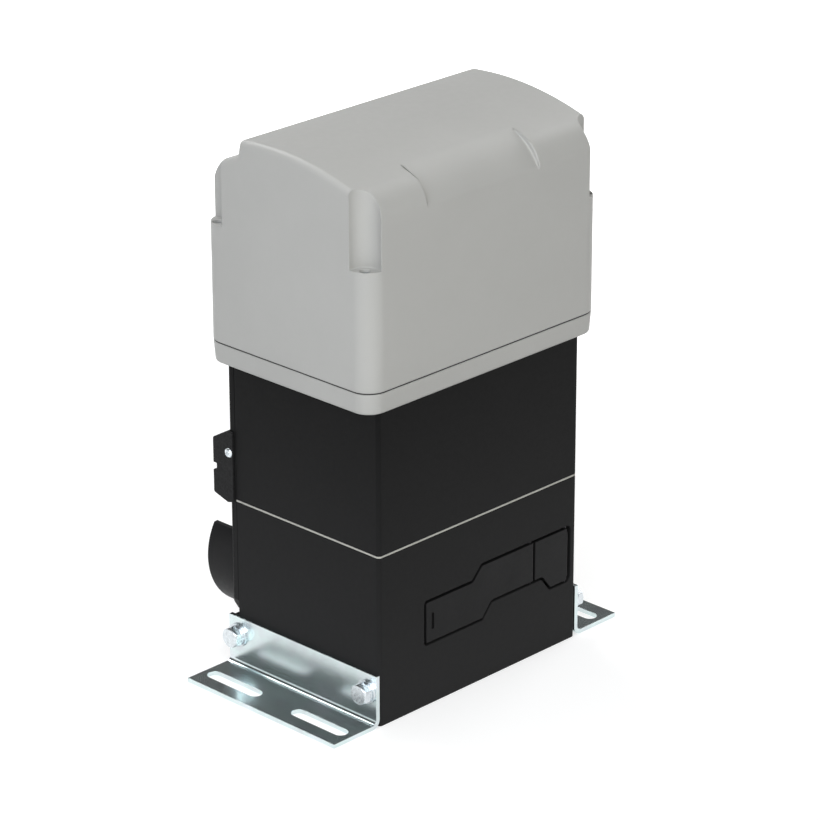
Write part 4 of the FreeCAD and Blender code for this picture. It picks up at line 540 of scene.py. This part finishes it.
def without(mesh, outline, low, high):
    """The mesh without what lies in a prism, whose outline is in X and Z and whose ends are along Y."""
    count = len(outline)
    points = [(x, y, z) for y in (low, high) for x, z in outline]
    sides = [(i, count + i, count + (i + 1) % count, (i + 1) % count) for i in range(count)]
    ends = [tuple(range(count)), tuple(reversed(range(count, 2 * count)))]
    prism = bpy.data.meshes.new("prism")
    prism.from_pydata(points, [], sides + ends)
    form = merged(mesh)
    solid = bpy.data.meshes.new("solid")
    form.to_mesh(solid)
    form.free()
    cutter = placed("cutter", prism)
    whole = placed("whole", solid)
    cut = whole.modifiers.new("cut", "BOOLEAN")
    cut.operation = "DIFFERENCE"
    cut.solver = "EXACT"
    cut.object = cutter
    rest = evaluated_mesh(whole)
    for thing in (cutter, whole):
        bpy.data.objects.remove(thing)
    return rest


def mark_edges(form, share_at):
    """Marks the sharp edges for rounding, each with its share of the radius."""
    weights = form.edges.layers.float.new("bevel_weight_edge")
    for edge in form.edges:
        sharp = len(edge.link_faces) == 2 and edge.calc_face_angle() > SHARP_ANGLE
        if sharp:
            middle = (edge.verts[0].co + edge.verts[1].co) / 2
            edge[weights] = share_at(middle) if share_at else 1.0
        edge.smooth = not sharp or edge[weights] > 0.0
    for face in form.faces:
        face.smooth = True


def round_edges(piece, radius):
    """Rounds the marked edges, and keeps the flat faces flat to the light."""
    bevel = piece.modifiers.new("edges", "BEVEL")
    bevel.width = radius
    bevel.segments = EDGE_SEGMENTS
    bevel.limit_method = "WEIGHT"
    bevel.use_clamp_overlap = False
    bevel.miter_outer = "MITER_ARC"
    shading = piece.modifiers.new("face_normals", "WEIGHTED_NORMAL")
    shading.weight = LARGE_FACES_RULE
    shading.keep_sharp = True


def softened(node, name, material, radius, share_at=None, merge=MERGE_DISTANCE, shape=None):
    """A copy of a frame node with its sharp edges rounded, which stands for the node.

    share_at, where given, tells from an edge's middle how much of the radius the edge gets.
    merge is the length up to which corners that lie close together become one.
    shape, where given, is a changed copy of the node's mesh."""
    source = frame["nodes"][node]
    form = merged(shape or source.data, merge)
    bmesh.ops.dissolve_limit(form, angle_limit=FLAT_ANGLE, verts=form.verts, edges=form.edges)
    mark_edges(form, share_at)
    mesh = bpy.data.meshes.new(name)
    form.to_mesh(mesh)
    form.free()
    normals = mesh.attributes.get("custom_normal")
    if normals is not None:
        mesh.attributes.remove(normals)
    mesh.materials.clear()
    mesh.materials.append(material)
    piece = piece_on(source["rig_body"], name, mesh)
    round_edges(piece, radius)
    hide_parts(node)
    return piece


class Pattern:
    """A Geometry Nodes tree for parts that repeat, with named inputs for its sizes."""

    def __init__(self, name):
        self.name = name
        self.tree = bpy.data.node_groups.new(name, "GeometryNodeTree")
        self.tree.interface.new_socket("Geometry", in_out="OUTPUT", socket_type="NodeSocketGeometry")
        self.group_input = self.tree.nodes.new("NodeGroupInput")
        self.values = {}

    def size(self, name, value, kind="NodeSocketFloat"):
        """A named input of the tree, and the value that this piece gives it."""
        socket = self.tree.interface.new_socket(name, in_out="INPUT", socket_type=kind)
        self.values[socket.identifier] = value
        return self.group_input.outputs[name]

    def count(self, name, value):
        return self.size(name, value, "NodeSocketInt")

    def add(self, kind, inputs, **settings):
        """One node, whose inputs are values or other nodes' outputs."""
        node = self.tree.nodes.new(kind)
        for setting, value in settings.items():
            setattr(node, setting, value)
        for name, value in inputs.items():
            if isinstance(value, bpy.types.NodeSocket):
                self.tree.links.new(value, node.inputs[name])
            else:
                node.inputs[name].default_value = value
        return node.outputs[0]

    def combine(self, x=0.0, y=0.0, z=0.0):
        return self.add("ShaderNodeCombineXYZ", {"X": x, "Y": y, "Z": z})

    def scaled(self, value, factor):
        return self.add("ShaderNodeMath", {0: value, 1: factor}, operation="MULTIPLY")

    def cylinder(self, sides, radius, depth):
        return self.add("GeometryNodeMeshCylinder", {"Vertices": sides, "Radius": radius, "Depth": depth})

    def box(self, size):
        return self.add("GeometryNodeMeshCube", {"Size": size})

    def join(self, *parts):
        """Several parts as one."""
        node = self.tree.nodes.new("GeometryNodeJoinGeometry")
        for part in parts:
            self.tree.links.new(part, node.inputs["Geometry"])
        return node.outputs[0]

    def cut(self, part, tool):
        return self.add("GeometryNodeMeshBoolean", {"Mesh 1": part, "Mesh 2": tool}, operation="DIFFERENCE")

    def repeat(self, part, points, scale=(1.0, 1.0, 1.0)):
        """The part once at each point."""
        return self.add("GeometryNodeInstanceOnPoints", {"Points": points, "Instance": part, "Scale": scale})

    def row(self, part, count, **step):
        """The part so many times, each a step from the last."""
        line = {"Count": count, "Offset": self.combine(**step)}
        return self.repeat(part, self.add("GeometryNodeMeshLine", line, mode="OFFSET"))

    def move(self, part, place=(0.0, 0.0, 0.0), turn=(0.0, 0.0, 0.0)):
        return self.add("GeometryNodeTransform", {"Geometry": part, "Translation": place, "Rotation": turn})

    def finish(self, parts, material, body, slot):
        """Ends the tree and makes its result a plain piece of the object."""
        solid = self.add("GeometryNodeRealizeInstances", {"Geometry": parts})
        dressed = self.add("GeometryNodeSetMaterial", {"Geometry": solid, "Material": material})
        self.tree.links.new(dressed, self.tree.nodes.new("NodeGroupOutput").inputs["Geometry"])
        carrier = placed(self.name, bpy.data.meshes.new(self.name))
        modifier = carrier.modifiers.new("pattern", "NODES")
        modifier.node_group = self.tree
        for identifier, value in self.values.items():
            modifier[identifier] = value
        mesh = evaluated_mesh(carrier)
        bpy.data.objects.remove(carrier)
        mesh.name = self.name
        mesh.shade_smooth()
        mesh.set_sharp_from_angle(angle=SHARP_ANGLE)
        return piece_on(body, self.name, mesh)


class GATEMOTOR_OT_cover(bpy.types.Operator):
    """Finish the moulded cover and the ring under its joint line"""
    bl_idname = "gate_motor.cover"
    bl_label = "Cover and base"

    def execute(self, context):
        settings = context.scene.gate_motor_cover
        grey = moulded_grey()
        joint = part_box("cover")[0].z + settings.edge
        rim_share = settings.rim / settings.edge
        flute_share = settings.flute / settings.edge

        def by_place(middle):
            if middle.z < joint:
                return rim_share
            return flute_share if abs(middle.x) > settings.flute_start else 1.0

        softened("cover", "moulded_cover", grey, settings.edge, by_place, settings.merge)
        softened("cover_base", "moulded_base", grey, settings.rim, merge=settings.merge)
        dress(plain("seal_rubber"), "cover_seal")
        return {"FINISHED"}


class GATEMOTOR_OT_castings(bpy.types.Operator):
    """Finish the two castings, the back plate and the gasket between the castings"""
    bl_idname = "gate_motor.castings"
    bl_label = "Castings"

    def execute(self, context):
        settings = context.scene.gate_motor_casting
        low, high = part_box("gearbox_housing")
        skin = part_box("lock_barrel")[0].y

        def outside(middle):
            near_side = min(middle.x - low.x, high.x - middle.x) < settings.edge
            near_front = middle.y < skin
            near_ground = middle.z < low.z + settings.edge
            return 1.0 if near_side or near_front or near_ground else 0.0

        for node, name in (("gearbox_housing", "coated_gearbox"), ("motor_housing", "coated_motor_case"),
                           ("back_plate", "coated_back_plate")):
            softened(node, name, powder_coat(), settings.edge, outside)
        dress(plain("pressed_gasket"), "housing_gasket")
        return {"FINISHED"}


class GATEMOTOR_OT_brackets(bpy.types.Operator):
    """Finish the zinc plated mounting brackets"""
    bl_idname = "gate_motor.brackets"
    bl_label = "Brackets"

    def execute(self, context):
        settings = context.scene.gate_motor_metal
        for side in ("left", "right"):
            softened(f"bracket_{side}", f"plated_bracket_{side}", bright_zinc(),
                     settings.bracket_edge)
        return {"FINISHED"}


class GATEMOTOR_OT_fixings(bpy.types.Operator):
    """Finish the bolts, washers and screws"""
    bl_idname = "gate_motor.fixings"
    bl_label = "Fixings"

    def execute(self, context):
        settings = context.scene.gate_motor_metal
        for node, name in (("bracket_bolts", "hexagon_bolts"), ("bracket_flat_washers", "flat_washers"),
                           ("bracket_spring_washers", "spring_washers")):
            softened(node, name, zinc_fixings(), settings.fixing_edge)
        dress(zinc_fixings(), "housing_screws", "back_plate_screws", "guard_screws", "sensor_screw",
              "oil_plugs", "cover_base_screws", "pinion_screw", "pinion_washer")
        dress(plain("galvanised_sheet"), "cover_screws")
        return {"FINISHED"}


class GATEMOTOR_OT_release(bpy.types.Operator):
    """Finish the release lever, lock cover, lock barrel and their pins"""
    bl_idname = "gate_motor.release"
    bl_label = "Release"

    def execute(self, context):
        dress(black_moulding(), "release_lever", "lock_cover")
        dress(zinc_fixings(), "lock_barrel")
        dress(plain("blackened_steel"), "lever_pin", "lock_cover_pin")
        dress(ground_steel(), "release_plunger")
        return {"FINISHED"}


class GATEMOTOR_OT_sensor_and_guard(bpy.types.Operator):
    """Finish the limit sensor and the guard round the drive pinion"""
    bl_idname = "gate_motor.sensor_and_guard"
    bl_label = "Sensor and guard"

    def execute(self, context):
        settings = context.scene.gate_motor_plastic
        softened("sensor_housing", "moulded_sensor", textured_moulding(), settings.edge)
        softened("pinion_guard", "moulded_guard", black_moulding(), settings.edge,
                 shape=self.guard_open_above(settings))
        dress(board_lacquer(), "sensor_element")
        self.cross_head_screw(settings)
        return {"FINISHED"}

    def guard_open_above(self, settings):
        """The guard without its inner lip above the shaft."""
        low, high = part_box("pinion_guard")
        middle = (low + high) / 2
        shaft_low, shaft_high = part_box("output_shaft")
        shaft_z = (shaft_low.z + shaft_high.z) / 2
        reach = (high.x - low.x) / 2 - settings.guard_wall
        arc = [math.pi * i / GUARD_ARC_STEPS for i in range(GUARD_ARC_STEPS + 1)]
        outline = [(middle.x + reach * math.cos(a), shaft_z + reach * math.sin(a)) for a in arc]
        guard = frame["nodes"]["pinion_guard"].data
        return without(guard, outline, middle.y, high.y + settings.guard_wall)

    def cross_head_screw(self, settings):
        """The screw that holds the sensor, with its domed head and cross recess.

        Its measures are shares of the head's radius."""
        dome, cross_length, cross_width, recess_floor = 0.5, 1.1, 0.26, 0.25
        low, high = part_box("sensor_screw")
        middle = (low + high) / 2
        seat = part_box("sensor_housing")[0].x
        screw = Pattern("cross_head_screw")
        radius = screw.size("Head radius", settings.screw)
        ball = screw.add("GeometryNodeMeshUVSphere", {"Segments": 32, "Rings": 16, "Radius": radius})
        head = screw.add("GeometryNodeTransform", {"Geometry": ball, "Scale": (dome, 1.0, 1.0)})
        length_across, width_across = screw.scaled(radius, cross_length), screw.scaled(radius, cross_width)
        outward = screw.combine(x=screw.scaled(radius, -(recess_floor + 0.5)))
        for sides in ((length_across, width_across), (width_across, length_across)):
            bar = screw.box(screw.combine(radius, *sides))
            head = screw.cut(head, screw.move(bar, outward))
        seated = screw.move(head, Vector((seat, middle.y, middle.z)))
        piece = screw.finish(seated, zinc_fixings(), "root", "zinc_screws")
        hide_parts("sensor_screw")


class GATEMOTOR_OT_gear_train(bpy.types.Operator):
    """Finish the drive pinion, output shaft, worm gear and clutch"""
    bl_idname = "gate_motor.gear_train"
    bl_label = "Gear train"

    def execute(self, context):
        metals = context.scene.gate_motor_metal
        low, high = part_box("output_shaft")
        shaft_centre = (low + high) / 2
        turned_steel = turned_metal("turned_steel", metals.steel, shaft_centre)
        dress(turned_steel, "drive_pinion", "output_shaft", "pinion_key")
        dress(turned_metal("turned_bronze", metals.bronze, shaft_centre), "worm_wheel")
        dress(plain("machined_iron"), "wheel_hub", "clutch_drum", "motor_end_shield")
        dress(ground_steel(), "drive_keys", "worm_shaft", "clutch_plates", "clutch_spring", "clutch_nut",
              "output_bearings", "worm_bearings", "motor_bearing", "motor_shaft")
        dress(plain("clutch_lining"), "clutch_discs")
        dress(plain("seal_rubber"), "shaft_seal")
        return {"FINISHED"}


class GATEMOTOR_OT_motor(bpy.types.Operator):
    """Finish the motor's rotor, stator and windings"""
    bl_idname = "gate_motor.motor"
    bl_label = "Motor"

    def execute(self, context):
        dress(stacked_sheets(), "rotor_core", "stator_core")
        dress(varnished_copper(), "stator_windings")
        return {"FINISHED"}


class GATEMOTOR_OT_electronics(bpy.types.Operator):
    """Finish the control board and the parts beside it"""
    bl_idname = "gate_motor.electronics"
    bl_label = "Electronics"

    def execute(self, context):
        dress(plain("galvanised_sheet"), "board_bracket")
        dress(ground_steel(), "board_standoffs")
        dress(board_lacquer(), "control_board")
        dress(plain("terminal_green"), "terminal_blocks")
        dress(black_moulding(), "relays")
        dress(stacked_sheets(), "transformer_core")
        dress(plain("capacitor_can"), "motor_capacitor")
        dress(plain("seal_rubber"), "cable_grommet")
        return {"FINISHED"}


class GATEMOTOR_OT_winding(bpy.types.Operator):
    """Wind the transformer's coil, turn beside turn"""
    bl_idname = "gate_motor.winding"
    bl_label = "Transformer winding"

    def execute(self, context):
        wire_radius = context.scene.gate_motor_board.wire
        low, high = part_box("transformer_coil")
        extent = high - low
        middle = (low + high) / 2
        winding = Pattern("transformer_winding")
        wire = winding.size("Wire radius", wire_radius)
        width = winding.size("Width", extent.x - 2 * wire_radius)
        depth = winding.size("Depth", extent.y - 2 * wire_radius)
        corner = winding.size("Corner radius", WINDING_CORNER)
        turns = winding.count("Turns", round(extent.z / (2 * wire_radius)))
        loop = winding.add("GeometryNodeCurvePrimitiveQuadrilateral", {"Width": width, "Height": depth})
        rounded = winding.add("GeometryNodeFilletCurve",
                              {"Curve": loop, "Radius": corner, "Count": WINDING_CORNER_STEPS}, mode="POLY")
        section = winding.add("GeometryNodeCurvePrimitiveCircle", {"Radius": wire, "Resolution": WIRE_SIDES})
        turn = winding.add("GeometryNodeCurveToMesh", {"Curve": rounded, "Profile Curve": section})
        stack = winding.row(turn, turns, z=winding.scaled(wire, 2.0))
        place = Vector((middle.x, middle.y, low.z + wire_radius))
        piece = winding.finish(winding.move(stack, place), varnished_copper(), "root", "copper")
        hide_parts("transformer_coil")
        return {"FINISHED"}


class GATEMOTOR_OT_terminals(bpy.types.Operator):
    """Set the screws and wire openings along the terminal blocks"""
    bl_idname = "gate_motor.terminals"
    bl_label = "Terminals"

    def along_blocks(self, pattern, part, settings, height, stand_out):
        """Repeats a part over the ways of each block, then over the blocks."""
        low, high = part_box("terminal_blocks")
        pitch = settings.block_width / settings.ways
        gaps = max(settings.blocks - 1, 1)
        blocks = pattern.count("Blocks", settings.blocks)
        ways = pattern.count("Ways", settings.ways)
        pitch_size = pattern.size("Pitch", pitch)
        spacing = pattern.size("Block spacing", (high.x - low.x - settings.block_width) / gaps)
        rows = pattern.row(pattern.row(part, ways, x=pitch_size), blocks, x=spacing)
        return pattern.move(rows, Vector((low.x + pitch / 2, low.y - stand_out, low.z + height)))

    def screws(self, settings):
        """Slotted screws, whose measures are shares of their radius."""
        head_depth, slot_length, slot_width = 0.7, 2.4, 0.36
        screws = Pattern("terminal_screws")
        radius = screws.size("Screw radius", settings.screw)
        head = screws.cylinder(20, radius, screws.scaled(radius, head_depth))
        width = screws.scaled(radius, slot_width)
        blade = screws.box(screws.combine(screws.scaled(radius, slot_length), width, width))
        raised = screws.move(blade, screws.combine(z=screws.scaled(radius, head_depth / 2)))
        turned = screws.move(screws.cut(head, raised), turn=FACING_FRONT)
        rows = self.along_blocks(screws, turned, settings, TERMINAL_SCREW_HEIGHT, TERMINAL_SCREW_OUT)
        screws.finish(rows, zinc_fixings(), "root", "zinc_screws")

    def mouths(self, settings):
        """Eight sided openings for the wires, whose measures are shares of their width."""
        radius, depth = 0.54, 0.2
        mouths = Pattern("wire_mouths")
        width = mouths.size("Mouth width", settings.mouth)
        hole = mouths.cylinder(8, mouths.scaled(width, radius), mouths.scaled(width, depth))
        turned = mouths.move(hole, turn=FACING_FRONT)
        rows = self.along_blocks(mouths, turned, settings, WIRE_MOUTH_HEIGHT, 0.0)
        # The openings are painted shade: black rubber discs stand on the block's face where the holes would be
        # dark
        mouths.finish(rows, plain("seal_rubber"), "root", "rubber")

    def execute(self, context):
        settings = context.scene.gate_motor_board
        self.screws(settings)
        self.mouths(settings)
        return {"FINISHED"}


class GATEMOTOR_OT_board_parts(bpy.types.Operator):
    """Strew the small parts and set the push buttons and capacitors on the control board"""
    bl_idname = "gate_motor.board_parts"
    bl_label = "Board parts"

    def strewn(self, name, material, slot, window, amount, gap, smallest, largest, seed):
        """Small blocks at chosen places inside a window of the board, no nearer to each other than a gap.

        The window is given from the board's lower left corner: left, right, bottom, top."""
        left, right, bottom, top = window
        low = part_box("control_board")[0]
        pattern = Pattern(name)
        chance = pattern.count("Seed", seed)
        nearest = pattern.size("Gap", gap)
        sheet = pattern.add("GeometryNodeMeshGrid", {"Size X": right - left, "Size Y": top - bottom,
                                                     "Vertices X": 2, "Vertices Y": 2})
        standing = pattern.move(sheet, turn=FACING_FRONT)
        points = pattern.add("GeometryNodeDistributePointsOnFaces",
                             {"Mesh": standing, "Distance Min": nearest, "Density Max": amount, "Seed": chance},
                             distribute_method="POISSON")
        sizes = pattern.add("FunctionNodeRandomValue", {"Min": smallest, "Max": largest, "Seed": chance},
                            data_type="FLOAT_VECTOR")
        blocks = pattern.repeat(pattern.box((1.0, 1.0, 1.0)), points, sizes)
        middle = Vector((low.x + (left + right) / 2, low.y, low.z + (bottom + top) / 2))
        pattern.finish(pattern.move(blocks, middle), material, "root", slot)

    def buttons(self, settings, corner):
        cap_radius, cap_depth, body_width, body_depth = 1.9 * MM, 5 * MM, 6 * MM, 3.5 * MM
        buttons = Pattern("push_buttons")
        amount = buttons.count("Buttons", settings.buttons)
        pitch = buttons.size("Pitch", 12 * MM)
        cap = buttons.cylinder(24, cap_radius, cap_depth)
        body = buttons.box((body_width, body_width, body_depth))
        lowered = buttons.move(body, (0.0, 0.0, -body_depth / 2))
        turned = buttons.move(buttons.join(cap, lowered), turn=FACING_FRONT)
        line = buttons.row(turned, amount, x=pitch)
        place = Vector((corner.x - 48 * MM, corner.y - 3.4 * MM, corner.z - 12 * MM))
        buttons.finish(buttons.move(line, place), black_moulding(), "root", "black_plastic")

    def capacitors(self, corner):
        height = 12 * MM
        cans = Pattern("board_capacitors")
        amount = cans.count("Cans", 3)
        radius = cans.size("Can radius", 4 * MM)
        pitch = cans.size("Pitch", 11 * MM)
        turned = cans.move(cans.cylinder(28, radius, height), turn=FACING_FRONT)
        line = cans.row(turned, amount, x=pitch)
        place = Vector((corner.x - 44 * MM, corner.y - height / 2, corner.z - 28 * MM))
        cans.finish(cans.move(line, place), plain("capacitor_can"), "root", "capacitor_white")

    def execute(self, context):
        settings = context.scene.gate_motor_board
        low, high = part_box("control_board")
        wide = high.x - low.x
        upper_right = Vector((high.x, low.y, high.z))
        self.strewn("board_chips", black_moulding(), "black_plastic",
                    window=(12 * MM, wide - 12 * MM, 24 * MM, 50 * MM), amount=2500.0, gap=9 * MM,
                    smallest=(3 * MM, 1.6 * MM, 2 * MM), largest=(9 * MM, 3.4 * MM, 6 * MM), seed=settings.seed)
        self.strewn("board_resistors", plain("capacitor_can"), "capacitor_white",
                    window=(8 * MM, wide - 60 * MM, 78 * MM, 106 * MM), amount=9000.0, gap=5 * MM,
                    smallest=(1.6 * MM, 1 * MM, 0.8 * MM), largest=(3.4 * MM, 1.8 * MM, 1.6 * MM),
                    seed=settings.seed + 1)
        self.buttons(settings, upper_right)
        self.capacitors(upper_right)
        return {"FINISHED"}


# Stage

LAMPS = (
    # name, azimuth, elevation, distance, size, share of a full white, colour
    ("key_lamp", -74.0, 30.0, 2.6, 1.5, 0.425, (0.91, 0.945, 1.0)),
    ("front_lamp", -14.0, 25.0, 2.8, 1.6, 0.245, (1.0, 0.99, 0.94)),
    ("corner_lamp", -46.0, 24.0, 2.6, 1.0, 0.235, (1.0, 1.0, 0.985)),
    ("top_lamp", -40.0, 82.0, 2.4, 1.4, 0.18, (1.0, 1.0, 1.0)),
    ("back_lamp", 176.0, 48.0, 2.8, 1.6, 0.42, (1.0, 1.0, 1.0)),
    ("right_lamp", 95.0, 30.0, 2.8, 1.6, 0.26, (1.0, 1.0, 1.0)),
)
FLOOR_HALF = 6.0
SIGHT_LIMIT = 30.0
CEILING_START, CEILING_FULL = 0.10, 0.36    # heights on the unit sphere where the mirrored room dims


def direction(azimuth, elevation):
    """Unit vector from the object towards a lamp or camera."""
    flat = math.cos(elevation)
    return Vector((math.sin(azimuth) * flat, -math.cos(azimuth) * flat, math.sin(elevation)))


def white_for_eyes(nodes, links):
    """1 for rays from the camera, mirrors and glass, 0 for light that falls on things."""
    path = nodes.new("ShaderNodeLightPath")
    total = path.outputs["Is Camera Ray"]
    for name in ("Is Glossy Ray", "Is Transmission Ray"):
        total = arithmetic(nodes, links, "MAXIMUM", total, path.outputs[name])
    return total


def make_world(ambient, ceiling):
    """White all round to the eye, even light on the object, and a dimmer room above in what gloss mirrors."""
    world = bpy.data.worlds.new("studio")
    world.use_nodes = True
    nodes, links = world.node_tree.nodes, world.node_tree.links
    seen = white_for_eyes(nodes, links)
    place = nodes.new("ShaderNodeTexCoord")
    parts = nodes.new("ShaderNodeSeparateXYZ")
    links.new(place.outputs["Generated"], parts.inputs["Vector"])
    fade = map_range(nodes, links, parts.outputs["Z"], (CEILING_START, CEILING_FULL), (1.0, ceiling))
    fade.interpolation_type = "SMOOTHSTEP"
    path = nodes.new("ShaderNodeLightPath")
    mirrored = nodes.new("ShaderNodeMix")
    mirrored.inputs["A"].default_value = 1.0
    links.new(path.outputs["Is Glossy Ray"], mirrored.inputs["Factor"])
    links.new(fade.outputs["Result"], mirrored.inputs["B"])
    strength = nodes.new("ShaderNodeMix")
    strength.inputs["A"].default_value = ambient
    links.new(seen, strength.inputs["Factor"])
    links.new(mirrored.outputs["Result"], strength.inputs["B"])
    background = nodes["Background"]
    background.inputs["Color"].default_value = (1.0, 1.0, 1.0, 1.0)
    links.new(strength.outputs["Result"], background.inputs["Strength"])
    bpy.context.scene.world = world


def make_floor(tone, glow, near, far):
    """A pale floor that takes the object's shadow near by and is plain white far away."""
    mesh = bpy.data.meshes.new("floor")
    corners = [(x * FLOOR_HALF, y * FLOOR_HALF, cad_low.z) for x, y in ((-1, -1), (1, -1), (1, 1), (-1, 1))]
    mesh.from_pydata(corners, [], [(0, 1, 2, 3)])
    floor = placed("floor", mesh)
    material = bpy.data.materials.new("pale_floor")
    material.use_nodes = True
    nodes, links = material.node_tree.nodes, material.node_tree.links
    principled = nodes["Principled BSDF"]
    principled.inputs["Base Color"].default_value = (tone, tone, tone, 1.0)
    principled.inputs["Roughness"].default_value = 1.0
    principled.inputs["Specular IOR Level"].default_value = 0.0
    principled.inputs["Emission Color"].default_value = (1.0, 1.0, 1.0, 1.0)
    seen = white_for_eyes(nodes, links)
    place = nodes.new("ShaderNodeTexCoord")
    distance = nodes.new("ShaderNodeVectorMath")
    distance.operation = "LENGTH"
    links.new(place.outputs["Object"], distance.inputs[0])
    spread = map_range(nodes, links, distance.outputs["Value"], (near, far), (glow, 1.0))
    strength = arithmetic(nodes, links, "MULTIPLY", seen, spread.outputs["Result"])
    links.new(strength, principled.inputs["Emission Strength"])
    mesh.materials.append(material)


def make_lamp(name, azimuth, elevation, distance, size, part_of_white, tint):
    """An area lamp whose power gives a facing white surface that share of full white."""
    lamp = bpy.data.lights.new(name, "AREA")
    lamp.shape = "DISK"
    lamp.size = size
    lamp.color = tint
    lamp.energy = part_of_white * math.pi ** 2 * distance ** 2
    away = direction(math.radians(azimuth), math.radians(elevation))
    middle = (cad_low + cad_high) / 2
    turn = (-away).to_track_quat("-Z", "Y").to_matrix().to_4x4()
    placed(name, lamp).matrix_world = Matrix.Translation(middle + away * distance) @ turn


def make_camera(settings):
    """The camera, turned about the point that it looks at."""
    lens = bpy.data.cameras.new("camera")
    lens.lens = settings.lens
    lens.clip_end = SIGHT_LIMIT
    camera = placed("camera", lens)
    tilt = math.pi / 2 - settings.elevation
    turn = Matrix.Rotation(settings.azimuth, 4, "Z") @ Matrix.Rotation(tilt, 4, "X")
    away = direction(settings.azimuth, settings.elevation)
    place = Vector(settings.aim) + away * settings.distance
    camera.matrix_world = Matrix.Translation(place) @ turn @ Matrix.Rotation(settings.roll, 4, "Z")
    bpy.context.scene.camera = camera


class GATEMOTOR_OT_stage(bpy.types.Operator):
    """Set the floor, the lamps, the white surround and the camera"""
    bl_idname = "gate_motor.stage"
    bl_label = "Stage"

    def execute(self, context):
        settings = context.scene.gate_motor_stage
        context.scene.view_settings.view_transform = "Standard"
        make_world(settings.ambient, settings.ceiling)
        make_floor(settings.floor_tone, settings.floor_glow, settings.floor_near, settings.floor_far)
        for lamp in LAMPS:
            make_lamp(*lamp)
        make_camera(settings)
        return {"FINISHED"}


SETTINGS = (
    ("gate_motor_cover", GateMotorCoverSettings),
    ("gate_motor_casting", GateMotorCastingSettings),
    ("gate_motor_metal", GateMotorMetalSettings),
    ("gate_motor_plastic", GateMotorPlasticSettings),
    ("gate_motor_board", GateMotorBoardSettings),
    ("gate_motor_stage", GateMotorStageSettings),
)
OPERATORS = (
    GATEMOTOR_OT_stage,
    GATEMOTOR_OT_castings,
    GATEMOTOR_OT_cover,
    GATEMOTOR_OT_brackets,
    GATEMOTOR_OT_fixings,
    GATEMOTOR_OT_release,
    GATEMOTOR_OT_sensor_and_guard,
    GATEMOTOR_OT_gear_train,
    GATEMOTOR_OT_motor,
    GATEMOTOR_OT_electronics,
    GATEMOTOR_OT_winding,
    GATEMOTOR_OT_terminals,
    GATEMOTOR_OT_board_parts,
)


class GATEMOTOR_PT_pieces(bpy.types.Panel):
    """The pieces and their settings"""
    bl_label = "Gate motor"
    bl_space_type = "VIEW_3D"
    bl_region_type = "UI"
    bl_category = "Gate motor"

    def draw(self, context):
        for operator in OPERATORS:
            self.layout.operator(operator.bl_idname)
        for name, group in SETTINGS:
            column = self.layout.column(heading=group.__doc__)
            for setting in group.__annotations__:
                column.prop(getattr(context.scene, name), setting)


def register():
    for name, group in SETTINGS:
        bpy.utils.register_class(group)
        setattr(bpy.types.Scene, name, PointerProperty(type=group))
    for operator in OPERATORS:
        bpy.utils.register_class(operator)
    bpy.utils.register_class(GATEMOTOR_PT_pieces)


def unregister():
    bpy.utils.unregister_class(GATEMOTOR_PT_pieces)
    for operator in reversed(OPERATORS):
        bpy.utils.unregister_class(operator)
    for name, group in reversed(SETTINGS):
        delattr(bpy.types.Scene, name)
        bpy.utils.unregister_class(group)


def main():
    register()
    for operator in OPERATORS:
        module, name = operator.bl_idname.split(".")
        getattr(getattr(bpy.ops, module), name)()


if __name__ == "__main__":
    main()
